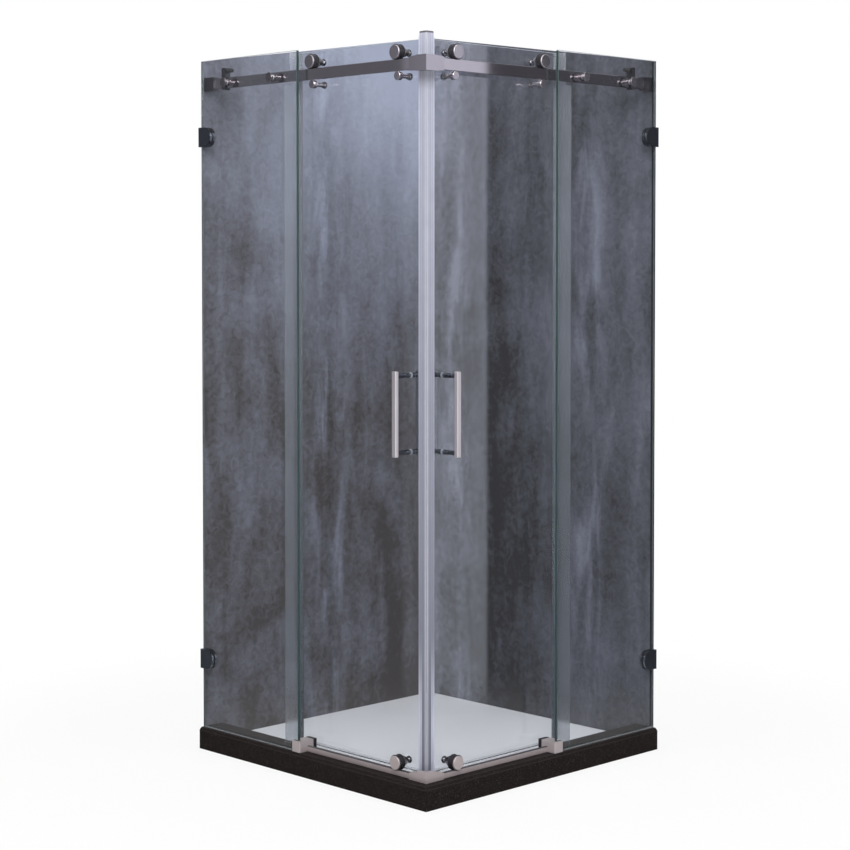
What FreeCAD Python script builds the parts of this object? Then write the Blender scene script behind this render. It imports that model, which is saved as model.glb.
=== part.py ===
import FreeCAD, Part
import os
from FreeCAD import Vector

# Corner shower screen: two fixed panels, two sliding doors, kerb and floor. Millimetres, +Z up.
# Every side piece is drawn on the right-hand side: x runs from the corner where the outer faces of
# the two door glasses meet towards the mounting plane, y points into the shower, and "out" is -y.
# The left-hand side is the same piece mirrored in the diagonal plane.

# Base
SIDE = 912.0              # mounting plane to the outer face of the kerb, both ways
SETBACK = 72.0            # door glass outer face behind the kerb's outer face
KERB_HEIGHT = 60.0
KERB_WIDTH = 84.0
KERB_BEVEL = 7.0
FLOOR_DROP = 40.0         # kerb top down to the white floor
MITRE_GAP = 0.2

# Glass
GLASS = 8.0
ARRIS = 0.8               # ground edge of the panes
GLASS_RISE = 1870.0       # kerb top up to the top edge of the glass
DOOR_NOSE = 14.0          # leading edge of the door glass from the corner
DOOR_WIDTH = 480.0
DOOR_FOOT = 10.0          # door glass above the kerb
OVERLAP = 65.0            # door glass behind the fixed glass
FIXED_FOOT = 4.0          # fixed glass above the kerb
WALL_GAP = 6.0            # fixed glass to the mounting plane

# Rails
RAIL_T = 10.0
RAIL_H = 30.0
LOW_RAIL_H = 15.0
BAR_CHAMFER = 1.0

# Wheels and axles
TREAD_R = 18.0
FLANGE_R = 20.0
FLANGE_TOP = 1.5
WHEEL_WIDTH = 16.0
GROOVE_PLAY = 0.5
ROLL_GAP = 0.3
JOURNAL_R = 6.0
RUN_FIT = 0.05
SIDE_PLAY = 0.4
CAP_R = 18.0
CAP_T = 4.0
EDGE = 1.0                # small edge break on turned pieces
AXLE_DROP = 31.0          # axle below the top edge of the glass
WHEEL_FRONT = 56.0        # front axle behind the leading edge of the glass
WHEEL_REAR = 98.0         # rear axle ahead of the trailing edge
CONE_LENGTH = 24.5
CONE_WHEEL_R = 18.0
CONE_GLASS_R = 7.0
CONE_LAND = 2.0
SHANK_R = 4.0
PLAY = 0.3                # radial room round shanks, bushes and studs
BUSH_WALL = 2.4
WASHER_T = 1.0
WASHER_R = 9.0
NUT_R = 8.0
NUT_LENGTH = 5.0
NUT_FLANGE_R = 9.5
NUT_FLANGE_T = 2.0
NUT_GRIP = 3.0            # shank inside the cap nut
NUT_BOTTOM = 0.5          # room past the end of the shank

# Anti-lift discs
LIFT_R = 11.0
LIFT_STEM_R = 6.0
LIFT_GAP = 0.5
LIFT_OVERHANG = 1.2       # disc past the rail on both faces
LIFT_SHIFT = 4.0          # nearer the corner than the wheel above

# Rail stops, sockets and corner pieces
STOP_SETBACK = 38.0       # rail stop ahead of the rail socket
STOP_WIDTH = 16.0
STOP_WALL = 4.0
STOP_HEAD = 8.0           # stop above the axle height
STOP_CHAMFER = 3.0
SLIP = 0.1                # flat slip fit round the rails
BUMPER_R = 6.0
BUMPER_LENGTH = 22.0
BUMPER_NOSE = 2.0
SOCKET_LENGTH = 40.0
SOCKET_END = 5.0
SOCKET_HOLE_R = 2.5
SOCKET_HOLE_PITCH = 20.0
SLEEVE_LEG = 20.0         # corner sleeve past the corner of the door planes
SLEEVE_RISE = 5.0         # sleeve above and below the rail at the corner
SLEEVE_LIP = 2.0          # sleeve above and below the rail at its ends
SLEEVE_TAPER = 30.0       # length of the taper of each leg
LOW_BLOCK_H = 25.0
LOW_BLOCK_LIP = 2.0       # corner block above the low rail at its ends
GRUB_R = 3.0
GRUB_INSET = 8.0          # grub screw behind the end of a sleeve or socket

# Fixed panel fittings
CAP_CLEAR = 5.5           # wheel cap to the inner face of the fixed glass
STANDOFF_NEAR = 107.0     # first standoff behind the free edge of the fixed glass
STANDOFF_STOP_GAP = 4.5   # second standoff ahead of the rail stop
STANDOFF_CAP_R = 13.0
STANDOFF_CAP_T = 7.0
STANDOFF_R = 9.0
STUD_FLOOR = 1.0          # rail metal left behind a standoff stud
CLAMP_RISE = 195.0        # lower clamp's middle above the kerb
CLAMP_DROP = 212.0        # upper clamp's middle below the top edge of the glass
CLAMP_HALF = 27.0
CLAMP_REACH = 52.0
CLAMP_JAW = 7.0
CLAMP_WEB = 5.0
INNER_JAW_T = 6.0
CLAMP_BOLT_R = 4.0
CLAMP_HEAD_R = 7.0
CLAMP_HEAD_T = 2.5
CLAMP_BITE = 4.0          # clamp bolt inside the outer jaw
CLAMP_HOLE_R = 2.75
CLAMP_HOLE_PITCH = 30.0
GASKET = 1.0
CLIP_LENGTH = 33.0
CLIP_HEIGHT = 30.0
CLIP_WALL = 3.5
CLIP_FLOOR = 3.0
CLIP_END = 11.0           # end wall of the foot clip
CLIP_CHAMFER = 2.0
GUIDE_PAD = 13.0          # plastic pad between the foot clip and the door
GUIDE_GAP = 1.5           # pad to the outer face of the door sweep

# Seals
SEAL_WALL = 1.5
SEAL_LEG = 13.0
SEAL_RISE = 20.0          # magnetic seal above the glass
SEAL_SLANT = 4.0          # how far the top of the magnetic seal is cut back
SEAL_TIP = 0.3            # half the gap between the two magnetic seals
MAGNET_LENGTH = 8.0
MAGNET_T = 3.0
MAGNET_SKIN = 1.2
MAGNET_SHIFT = 1.5
MAGNET_END = 2.0
FIN_GAP = 1.0             # fin to the inner jaws of the wall clamps
FIN_NOTCH_GAP = 5.0       # room between the fin's cut-out and the rail fittings
SWEEP_LEG = 6.0
SWEEP_GAP = 0.5
SWEEP_LIP = 2.0
SWEEP_END = 0.5

# Handles
HANDLE_BEHIND = 48.0      # handle behind the leading edge of the glass
HANDLE_RISE = 924.0
HANDLE_PITCH = 196.0
HANDLE_END = 11.0         # bar past the axis of each post
HANDLE_W = 14.0
HANDLE_T = 12.0
HANDLE_EDGE = 2.0         # rounding of the bar
HANDLE_REACH = 50.0       # outer bar's middle out from the glass
HANDLE_INNER_REACH = 30.0
POST_R = 6.0
POST_FOOT_R = 7.0
POST_WASHER_R = 7.5
POST_FOOT_T = 2.0
HANDLE_STUD_R = 3.0
HANDLE_BITE = 12.0        # stud inside the inner post

# Places along the side, in x
CORNER = SIDE / 2 - SETBACK
WALL = SIDE - SETBACK
DOOR_END = DOOR_NOSE + DOOR_WIDTH
FRONT_X = DOOR_NOSE + WHEEL_FRONT
REAR_X = DOOR_END - WHEEL_REAR
HANDLE_X = DOOR_NOSE + HANDLE_BEHIND
FIXED_END = WALL - WALL_GAP
FIXED_EDGE = DOOR_END - OVERLAP
SOCKET_X = WALL - SOCKET_LENGTH
STOP_X = SOCKET_X - STOP_SETBACK - STOP_WIDTH
BUMPER_TIP = STOP_X - BUMPER_LENGTH
STANDOFF_XS = (FIXED_EDGE + STANDOFF_NEAR, STOP_X - STANDOFF_STOP_GAP - STANDOFF_R)
CLAMP_X = WALL - CLAMP_REACH + CLAMP_HALF
CLIP_X = FIXED_EDGE - GASKET - CLIP_END
CLIP_X_END = CLIP_X + CLIP_LENGTH
LOW_RAIL_X_END = CLIP_X_END - CLIP_END
GRUB_XS = (SLEEVE_LEG - GRUB_INSET, STOP_X + STOP_WIDTH / 2, SOCKET_X + GRUB_INSET)

# Places outward from the door glass
CONE_OUT = WASHER_T + CONE_LENGTH
WHEEL_IN = CONE_OUT + SIDE_PLAY
WHEEL_OUT = WHEEL_IN + WHEEL_WIDTH
CAP_IN = WHEEL_OUT + SIDE_PLAY
CAP_OUT = CAP_IN + CAP_T
RAIL_MID = (WHEEL_IN + WHEEL_OUT) / 2
RAIL_IN = RAIL_MID - RAIL_T / 2
RAIL_OUT = RAIL_MID + RAIL_T / 2
FIXED_IN = CAP_OUT + CAP_CLEAR
FIXED_OUT = FIXED_IN + GLASS
FITTING_IN = RAIL_IN - STOP_WALL
FITTING_OUT = RAIL_OUT + STOP_WALL
INNER_JAW_IN = FIXED_IN - GASKET - INNER_JAW_T
FIN_OUT = INNER_JAW_IN - FIN_GAP
PAD_IN = SEAL_WALL + GUIDE_GAP
PAD_OUT = PAD_IN + GUIDE_PAD
INNER_SEAT = -GLASS - WASHER_T
SHANK_END = INNER_SEAT - NUT_GRIP

# Heights
KERB_TOP = KERB_HEIGHT
GLASS_TOP = KERB_TOP + GLASS_RISE
DOOR_LOW = KERB_TOP + DOOR_FOOT
FIXED_LOW = KERB_TOP + FIXED_FOOT
AXLE_Z = GLASS_TOP - AXLE_DROP
RAIL_TOP = AXLE_Z - TREAD_R - ROLL_GAP
RAIL_LOW = RAIL_TOP - RAIL_H
RAIL_Z = (RAIL_TOP + RAIL_LOW) / 2
LOW_RAIL_TOP = KERB_TOP + LOW_RAIL_H
LOW_AXLE_Z = LOW_RAIL_TOP + TREAD_R + ROLL_GAP
LIFT_Z = RAIL_LOW - LIFT_GAP - LIFT_R
HANDLE_Z = KERB_TOP + HANDLE_RISE
HANDLE_ZS = (HANDLE_Z - HANDLE_PITCH / 2, HANDLE_Z + HANDLE_PITCH / 2)
HANDLE_LENGTH = HANDLE_PITCH + 2 * HANDLE_END
CLAMP_ZS = (KERB_TOP + CLAMP_RISE, GLASS_TOP - CLAMP_DROP)
AXLES = {
    "top_front": (FRONT_X, AXLE_Z),
    "top_rear": (REAR_X, AXLE_Z),
    "low_front": (FRONT_X, LOW_AXLE_Z),
}
LIFTS = [(FRONT_X - LIFT_SHIFT, LIFT_Z), (REAR_X - LIFT_SHIFT, LIFT_Z)]
BOLT_HOLES = list(AXLES.values()) + LIFTS
BUSH_R = SHANK_R + PLAY + BUSH_WALL
HOLE_R = BUSH_R + PLAY


def block(x0, x1, out0, out1, z0, z1):
    """A box between two x, two distances outward and two heights."""
    return Part.makeBox(x1 - x0, out1 - out0, z1 - z0, Vector(x0, -out1, z0))


def prism(points, z0, z1):
    """An upright prism over a plan outline given as (x, y) points."""
    corners = [Vector(x, y, z0) for x, y in points]
    face = Part.Face(Part.makePolygon(corners + corners[:1]))
    return face.extrude(Vector(0, 0, z1 - z0))


def side_prism(points, out0, out1):
    """A prism square to the glass over a side outline given as (x, z) points."""
    corners = [Vector(x, -out1, z) for x, z in points]
    face = Part.Face(Part.makePolygon(corners + corners[:1]))
    return face.extrude(Vector(0, out1 - out0, 0))


def bar(x0, x1, out0, out1, z0, z1, chamfer):
    """A bar along x whose four long edges are chamfered."""
    section = [
        (out0 + chamfer, z0), (out1 - chamfer, z0), (out1, z0 + chamfer), (out1, z1 - chamfer),
        (out1 - chamfer, z1), (out0 + chamfer, z1), (out0, z1 - chamfer), (out0, z0 + chamfer),
    ]
    corners = [Vector(x0, -out, z) for out, z in section]
    face = Part.Face(Part.makePolygon(corners + corners[:1]))
    return face.extrude(Vector(x1 - x0, 0, 0))


def turned(x, z, profile):
    """A turned piece on an axis square to the glass, from (outward, radius) points."""
    corners = [Vector(radius, -out, 0) for out, radius in profile]
    face = Part.Face(Part.makePolygon(corners + corners[:1]))
    solid = face.revolve(Vector(0, 0, 0), Vector(0, 1, 0), 360)
    return solid.translated(Vector(x, 0, z))


def rod(x, z, out0, out1, radius):
    """A round bar square to the glass."""
    return turned(x, z, [(out0, 0), (out0, radius), (out1, radius), (out1, 0)])


def ring(x, z, out0, out1, radius, bore):
    """A washer or tube square to the glass."""
    return turned(x, z, [(out0, bore), (out0, radius), (out1, radius), (out1, bore)])


def right_of_diagonal(shape, gap):
    """The part of a shape on the right-hand side of the diagonal plane."""
    reach = 2 * SIDE
    keep = prism([(gap - reach, -reach), (reach, -reach), (reach, reach - gap)], -reach, 2 * reach)
    return shape.common(keep)


def placed(shape, side):
    """A right-hand shape moved to its place on the left or right side of the screen."""
    if side == "left":
        shape = shape.mirror(Vector(0, 0, 0), Vector(1, -1, 0))
    return shape.translated(Vector(-CORNER, -CORNER, 0))


def save(name, *shapes):
    """Write one node, as a group where it holds several solids."""
    shape = shapes[0] if len(shapes) == 1 else Part.makeCompound(list(shapes))
    shape.exportStep("parts/%s.step" % name)


def save_sides(name, shapes):
    """Write a node that holds the same solids on both sides."""
    save(name, *[placed(shape, side) for side in ("left", "right") for shape in shapes])


def kerb():
    outline = [
        (SETBACK, 0), (SETBACK, KERB_TOP - KERB_BEVEL), (SETBACK - KERB_BEVEL, KERB_TOP),
        (SETBACK - KERB_WIDTH, KERB_TOP), (SETBACK - KERB_WIDTH, 0),
    ]
    corners = [Vector(-SETBACK, -out, z) for out, z in outline]
    face = Part.Face(Part.makePolygon(corners + corners[:1]))
    return right_of_diagonal(face.extrude(Vector(SIDE, 0, 0)), MITRE_GAP)


def floor():
    inner = KERB_WIDTH - SETBACK
    return prism([(inner, inner), (WALL, inner), (WALL, WALL), (inner, WALL)], 0, KERB_TOP - FLOOR_DROP)


def top_rail():
    end = WALL - SOCKET_END
    rail = bar(-RAIL_OUT, end, RAIL_IN, RAIL_OUT, RAIL_LOW, RAIL_TOP, BAR_CHAMFER)
    for x in STANDOFF_XS:
        rail = rail.cut(rod(x, RAIL_Z, RAIL_IN + STUD_FLOOR, RAIL_OUT + STUD_FLOOR, SHANK_R + PLAY))
    return right_of_diagonal(rail, MITRE_GAP)


def low_rail():
    rail = bar(-RAIL_OUT, LOW_RAIL_X_END, RAIL_IN, RAIL_OUT, KERB_TOP, LOW_RAIL_TOP, BAR_CHAMFER)
    return right_of_diagonal(rail, MITRE_GAP)


def both_ways(shape):
    """A right-hand shape joined to its mirror image across the diagonal."""
    half = right_of_diagonal(shape, 0)
    return half.fuse(half.mirror(Vector(0, 0, 0), Vector(1, -1, 0))).removeSplitter()


def corner_elbow(corner_z, end_z, slot_z):
    """An elbow with a slot for both rails, tapered from its corner heights to its end heights."""
    knee = SLEEVE_LEG - SLEEVE_TAPER
    outline = [
        (-FITTING_OUT, corner_z[0]), (knee, corner_z[0]), (SLEEVE_LEG, end_z[0]),
        (SLEEVE_LEG, end_z[1]), (knee, corner_z[1]), (-FITTING_OUT, corner_z[1]),
    ]
    leg = side_prism(outline, FITTING_IN, FITTING_OUT)
    slot = block(-RAIL_OUT - SLIP, SLEEVE_LEG, RAIL_IN - SLIP, RAIL_OUT + SLIP, slot_z[0], slot_z[1])
    return both_ways(leg).cut(both_ways(slot))


def top_corner():
    elbow = corner_elbow(
        (RAIL_LOW - SLEEVE_RISE, RAIL_TOP + SLEEVE_RISE),
        (RAIL_LOW - SLEEVE_LIP, RAIL_TOP + SLEEVE_LIP),
        (RAIL_LOW - SLIP, RAIL_TOP + SLIP),
    )
    hole = grub_hole(GRUB_XS[0], RAIL_Z)
    return elbow.cut(hole).cut(hole.mirror(Vector(0, 0, 0), Vector(1, -1, 0)))


def low_corner():
    top = KERB_TOP + LOW_BLOCK_H
    return corner_elbow(
        (KERB_TOP, top), (KERB_TOP, LOW_RAIL_TOP + LOW_BLOCK_LIP), (KERB_TOP, LOW_RAIL_TOP + SLIP)
    )


def grub_hole(x, z):
    return rod(x, z, FITTING_IN - STOP_WALL, RAIL_MID, GRUB_R + PLAY)


def grub_screw(x, z):
    return rod(x, z, FITTING_IN, RAIL_IN, GRUB_R)


def rail_slot(x0, x1):
    """The room a fitting leaves for the top rail."""
    return block(x0, x1, RAIL_IN - SLIP, RAIL_OUT + SLIP, RAIL_LOW - SLIP, RAIL_TOP + SLIP)


def rail_stop():
    """A block round the rail whose head carries the bumper at axle height."""
    end = STOP_X + STOP_WIDTH
    low, top, c = RAIL_LOW - STOP_WALL, AXLE_Z + STOP_HEAD, STOP_CHAMFER
    outline = [
        (STOP_X + c, low), (end - c, low), (end, low + c), (end, top - c),
        (end - c, top), (STOP_X + c, top), (STOP_X, top - c), (STOP_X, low + c),
    ]
    body = side_prism(outline, FITTING_IN, FITTING_OUT)
    return body.cut(rail_slot(STOP_X, end)).cut(grub_hole(GRUB_XS[1], RAIL_Z))


def stop_bumper():
    """A rubber buffer that meets the rim of the rear wheel."""
    axis = Vector(1, 0, 0)
    start = Vector(BUMPER_TIP, -RAIL_MID, AXLE_Z)
    nose = Part.makeCone(BUMPER_R - BUMPER_NOSE, BUMPER_R, BUMPER_NOSE, start, axis)
    body_start = start + Vector(BUMPER_NOSE, 0, 0)
    body = Part.makeCylinder(BUMPER_R, BUMPER_LENGTH - BUMPER_NOSE, body_start, axis)
    return nose.fuse(body).removeSplitter()


def wall_socket():
    """A box that takes the end of the top rail, with two screw holes in its back."""
    body = block(SOCKET_X, WALL, FITTING_IN, FITTING_OUT, RAIL_LOW - STOP_WALL, RAIL_TOP + STOP_WALL)
    body = body.cut(rail_slot(SOCKET_X, WALL - SOCKET_END)).cut(grub_hole(GRUB_XS[2], RAIL_Z))
    for rise in (-SOCKET_HOLE_PITCH / 2, SOCKET_HOLE_PITCH / 2):
        start = Vector(WALL - 2 * SOCKET_END, -RAIL_MID, RAIL_Z + rise)
        body = body.cut(Part.makeCylinder(SOCKET_HOLE_R, 3 * SOCKET_END, start, Vector(1, 0, 0)))
    return body


def pane_of_glass(x0, x1, out0, out1, z0, z1):
    """A pane whose edges are all ground to a small arris."""
    pane = block(x0, x1, out0, out1, z0, z1)
    return pane.makeChamfer(ARRIS, pane.Edges)


def fixed_glass():
    pane = pane_of_glass(FIXED_EDGE, FIXED_END, FIXED_IN, FIXED_OUT, FIXED_LOW, GLASS_TOP)
    for x in STANDOFF_XS:
        pane = pane.cut(rod(x, RAIL_Z, FIXED_IN - GLASS, FIXED_OUT + GLASS, HOLE_R))
    for z in CLAMP_ZS:
        pane = pane.cut(rod(CLAMP_X, z, FIXED_IN - GLASS, FIXED_OUT + GLASS, CLAMP_BOLT_R + 2 * PLAY))
    return pane


def sill_strip():
    return block(CLIP_X_END + SLIP, FIXED_END, FIXED_IN, FIXED_OUT, KERB_TOP, FIXED_LOW)


def clamp_plate(z, out0, out1, end):
    """A D-shaped plate with its round end towards the door."""
    plate = block(CLAMP_X, end, out0, out1, z - CLAMP_HALF, z + CLAMP_HALF)
    disc = rod(CLAMP_X, z, out0, out1, CLAMP_HALF)
    room = block(WALL - CLAMP_REACH, end, out0, out1, z - CLAMP_HALF, z + CLAMP_HALF)
    return plate.fuse(disc).common(room).removeSplitter()


def clamp_body(z):
    """Outer jaw and back web of one clamp, with its two screw holes."""
    jaw_in = FIXED_OUT + GASKET
    jaw = clamp_plate(z, jaw_in, jaw_in + CLAMP_JAW, WALL)
    web = block(WALL - CLAMP_WEB, WALL, INNER_JAW_IN, jaw_in + CLAMP_JAW, z - CLAMP_HALF, z + CLAMP_HALF)
    body = jaw.fuse(web).removeSplitter()
    body = body.cut(rod(CLAMP_X, z, jaw_in - GASKET, jaw_in + CLAMP_BITE, CLAMP_BOLT_R + PLAY))
    for rise in (-CLAMP_HOLE_PITCH / 2, CLAMP_HOLE_PITCH / 2):
        start = Vector(WALL - 2 * CLAMP_WEB, -(FIXED_IN + FIXED_OUT) / 2, z + rise)
        body = body.cut(Part.makeCylinder(CLAMP_HOLE_R, 3 * CLAMP_WEB, start, Vector(1, 0, 0)))
    return body


def clamp_inner_jaw(z):
    """The D-shaped plate inside the glass, recessed for the head of the clamp bolt."""
    jaw = clamp_plate(z, INNER_JAW_IN, FIXED_IN - GASKET, WALL - CLAMP_WEB)
    jaw = jaw.cut(rod(CLAMP_X, z, INNER_JAW_IN - GASKET, FIXED_IN, CLAMP_BOLT_R + PLAY))
    recess = INNER_JAW_IN + CLAMP_HEAD_T
    return jaw.cut(rod(CLAMP_X, z, INNER_JAW_IN - GASKET, recess, CLAMP_HEAD_R + PLAY))


def clamp_gaskets(z):
    """The soft pads on both faces of the glass in one clamp."""
    hole = rod(CLAMP_X, z, FIXED_IN - GLASS, FIXED_OUT + GLASS, CLAMP_BOLT_R + PLAY)
    sides = (FIXED_OUT, FIXED_IN - GASKET)
    return [clamp_plate(z, out, out + GASKET, FIXED_END).cut(hole) for out in sides]


def clamp_bolt(z):
    seat = INNER_JAW_IN
    tip = FIXED_OUT + GASKET + CLAMP_BITE
    return turned(CLAMP_X, z, [
        (seat, 0), (seat, CLAMP_HEAD_R), (seat + CLAMP_HEAD_T, CLAMP_HEAD_R),
        (seat + CLAMP_HEAD_T, CLAMP_BOLT_R), (tip, CLAMP_BOLT_R), (tip, 0),
    ])


def standoff_cap(x):
    """A round cap outside the fixed glass with a stud that reaches into the rail."""
    seat = FIXED_OUT + WASHER_T
    front = seat + STANDOFF_CAP_T
    tip = RAIL_IN + STUD_FLOOR + PLAY
    return turned(x, RAIL_Z, [
        (tip, 0), (tip, SHANK_R), (seat, SHANK_R), (seat, STANDOFF_CAP_R),
        (front - EDGE, STANDOFF_CAP_R), (front, STANDOFF_CAP_R - EDGE), (front, 0),
    ])


def standoff_spacer(x):
    return ring(x, RAIL_Z, RAIL_OUT, FIXED_IN - WASHER_T, STANDOFF_R, SHANK_R + PLAY)


def bush(x, z, out0, out1):
    """A clear top-hat bush through a pane, with its flange on the outer face."""
    bore = SHANK_R + PLAY
    return turned(x, z, [
        (out0, bore), (out0, BUSH_R), (out1, BUSH_R), (out1, WASHER_R),
        (out1 + WASHER_T, WASHER_R), (out1 + WASHER_T, bore),
    ])


def inner_washer(x, z, out):
    return ring(x, z, out - WASHER_T, out, WASHER_R, SHANK_R + PLAY)


def foot_clip():
    """A shoe that holds the lower corner of the fixed glass and the end of the low rail."""
    x0, x1, c = CLIP_X, CLIP_X_END, CLIP_CHAMFER
    slot_in, slot_out = FIXED_IN - GASKET, FIXED_OUT + GASKET
    y0, y1 = -slot_out - CLIP_WALL, -PAD_OUT
    outline = [(x0 + c, y0), (x1 - c, y0), (x1, y0 + c), (x1, y1), (x0, y1), (x0, y0 + c)]
    shoe = prism(outline, KERB_TOP, KERB_TOP + CLIP_HEIGHT)
    shoe = shoe.cut(block(x0 + CLIP_END, x1, slot_in, slot_out, KERB_TOP + CLIP_FLOOR, GLASS_TOP))
    pocket_top = LOW_RAIL_TOP + SLIP
    return shoe.cut(block(x0, LOW_RAIL_X_END, RAIL_IN - SLIP, RAIL_OUT + SLIP, KERB_TOP, pocket_top))


def guide_pad():
    """A plastic pad on the foot clip that keeps the foot of the door from swinging out."""
    x0, x1, c = CLIP_X, CLIP_X_END, CLIP_CHAMFER
    outline = [
        (x0, -PAD_OUT), (x1, -PAD_OUT), (x1, -PAD_IN - c), (x1 - c, -PAD_IN), (x0 + c, -PAD_IN),
        (x0, -PAD_IN - c),
    ]
    return prism(outline, KERB_TOP, KERB_TOP + CLIP_HEIGHT)


def foot_gasket():
    """The soft lining between the foot clip and the glass."""
    x0, x1 = FIXED_EDGE - GASKET, CLIP_X_END
    z0, z1 = KERB_TOP + CLIP_FLOOR, KERB_TOP + CLIP_HEIGHT
    lining = block(x0, x1, FIXED_IN - GASKET, FIXED_OUT + GASKET, z0, z1)
    return lining.cut(block(FIXED_EDGE, x1, FIXED_IN, FIXED_OUT, FIXED_LOW, GLASS_TOP))


def door_glass():
    pane = pane_of_glass(DOOR_NOSE, DOOR_END, -GLASS, 0, DOOR_LOW, GLASS_TOP)
    for x, z in BOLT_HOLES:
        pane = pane.cut(rod(x, z, -2 * GLASS, GLASS, HOLE_R))
    for z in HANDLE_ZS:
        pane = pane.cut(rod(HANDLE_X, z, -2 * GLASS, GLASS, HANDLE_STUD_R + 2 * PLAY))
    return pane


def magnet_outline(room):
    """The plan outline of the magnet, parallel to the diagonal, grown by some room."""
    half_l, half_t = MAGNET_LENGTH / 2 + room, MAGNET_T / 2 + room
    slant = 0.5 ** 0.5
    depth = (MAGNET_SKIN + MAGNET_T / 2) * slant
    along = GLASS / 2 + MAGNET_SHIFT * slant
    x, y = along + SEAL_TIP + depth, along - depth
    outline = []
    for a, b in [(-1, -1), (1, -1), (1, 1), (-1, 1)]:
        long, thick = slant * a * half_l, slant * b * half_t
        outline.append((x + long + thick, y + long - thick))
    return outline


def magnetic_seal():
    """A channel on the leading edge of the door with a slanted magnet chamber."""
    y0, y1 = -SEAL_WALL, GLASS + SEAL_WALL
    leg = DOOR_NOSE + SEAL_LEG
    top = GLASS_TOP + SEAL_RISE
    outline = [(y0 + SEAL_TIP, y0), (leg, y0), (leg, y1), (y1 + SEAL_TIP, y1)]
    seal = prism(outline, DOOR_LOW, top)
    seal = seal.cut(block(DOOR_NOSE, leg, -GLASS, 0, DOOR_LOW, top))
    slant = side_prism([(leg, GLASS_TOP), (leg, top), (leg - SEAL_SLANT, top)], -y1, -y0)
    return seal.cut(slant).cut(prism(magnet_outline(PLAY), DOOR_LOW, top))


def magnet_strip():
    top = GLASS_TOP + SEAL_RISE - MAGNET_END
    return prism(magnet_outline(0), DOOR_LOW + MAGNET_END, top)


def trailing_seal():
    """A channel on the trailing edge of the door with a fin towards the fixed glass."""
    end = DOOR_END + SEAL_WALL
    leg = DOOR_END - SEAL_LEG
    seal = block(leg, end, -GLASS - SEAL_WALL, SEAL_WALL, DOOR_LOW, GLASS_TOP)
    seal = seal.fuse(block(DOOR_END, end, 0, FIN_OUT, DOOR_LOW, GLASS_TOP)).removeSplitter()
    seal = seal.cut(block(leg, DOOR_END, -GLASS, 0, DOOR_LOW, GLASS_TOP))
    notch_out = FITTING_IN - SIDE_PLAY
    notch_low = RAIL_LOW - STOP_WALL - FIN_NOTCH_GAP
    return seal.cut(block(DOOR_END - PLAY, end, notch_out, FIXED_IN, notch_low, GLASS_TOP))


def door_sweep():
    """A channel under the door glass with a lip just above the kerb."""
    x0 = DOOR_NOSE + SEAL_LEG + SWEEP_END
    x1 = DOOR_END - SEAL_LEG - SWEEP_END
    base = DOOR_LOW - SEAL_WALL
    sweep = block(x0, x1, -GLASS - SEAL_WALL, SEAL_WALL, base, DOOR_LOW + SWEEP_LEG)
    sweep = sweep.cut(block(x0, x1, -GLASS, 0, DOOR_LOW, DOOR_LOW + SWEEP_LEG))
    lip = block(x0, x1, -(GLASS + SWEEP_LIP) / 2, -(GLASS - SWEEP_LIP) / 2, KERB_TOP + SWEEP_GAP, base)
    return sweep.fuse(lip).removeSplitter()


def handle_bar(mid_out):
    """An upright bar with rounded edges, at a distance outward from the glass."""
    half_w, half_t, half_l = HANDLE_W / 2, HANDLE_T / 2, HANDLE_LENGTH / 2
    solid = block(
        HANDLE_X - half_w, HANDLE_X + half_w, mid_out - half_t, mid_out + half_t,
        HANDLE_Z - half_l, HANDLE_Z + half_l,
    )
    return solid.makeFillet(HANDLE_EDGE, solid.Edges)


def outer_handle():
    """A bar on two turned posts, whose studs pass through the glass."""
    bar_in = HANDLE_REACH - HANDLE_T / 2
    tip = INNER_SEAT - HANDLE_BITE
    solid = handle_bar(HANDLE_REACH)
    for z in HANDLE_ZS:
        solid = solid.fuse(turned(HANDLE_X, z, [
            (tip, 0), (tip, HANDLE_STUD_R), (WASHER_T, HANDLE_STUD_R), (WASHER_T, POST_FOOT_R),
            (WASHER_T + POST_FOOT_T, POST_FOOT_R), (WASHER_T + 2 * POST_FOOT_T, POST_R),
            (bar_in + HANDLE_EDGE, POST_R), (bar_in + HANDLE_EDGE, 0),
        ]))
    return solid.removeSplitter()


def inner_handle():
    """The bar on the shower side, drilled for the studs of the outer handle."""
    mid = -GLASS - HANDLE_INNER_REACH
    bar_out = mid + HANDLE_T / 2
    seat = INNER_SEAT
    solid = handle_bar(mid)
    for z in HANDLE_ZS:
        solid = solid.fuse(turned(HANDLE_X, z, [
            (seat, 0), (seat, POST_FOOT_R), (seat - POST_FOOT_T, POST_FOOT_R),
            (seat - 2 * POST_FOOT_T, POST_R), (bar_out - HANDLE_EDGE, POST_R), (bar_out - HANDLE_EDGE, 0),
        ]))
    for z in HANDLE_ZS:
        solid = solid.cut(rod(HANDLE_X, z, seat - HANDLE_BITE - NUT_BOTTOM, seat, HANDLE_STUD_R + PLAY))
    return solid.removeSplitter()


def handle_washers():
    bore = HANDLE_STUD_R + PLAY
    pairs = [(z, out) for z in HANDLE_ZS for out in (0, INNER_SEAT)]
    return [ring(HANDLE_X, z, out, out + WASHER_T, POST_WASHER_R, bore) for z, out in pairs]


def wheel(x, z):
    """A grooved plastic wheel that runs on the top edge of a rail."""
    half = RAIL_T / 2 + GROOVE_PLAY
    groove_in, groove_out = RAIL_MID - half, RAIL_MID + half
    bore = JOURNAL_R + RUN_FIT
    lip_in, lip_out = WHEEL_IN + FLANGE_TOP, WHEEL_OUT - FLANGE_TOP
    return turned(x, z, [
        (WHEEL_IN, bore), (WHEEL_IN, FLANGE_R), (lip_in, FLANGE_R), (groove_in, TREAD_R),
        (groove_out, TREAD_R), (lip_out, FLANGE_R), (WHEEL_OUT, FLANGE_R), (WHEEL_OUT, bore),
    ])


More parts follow.
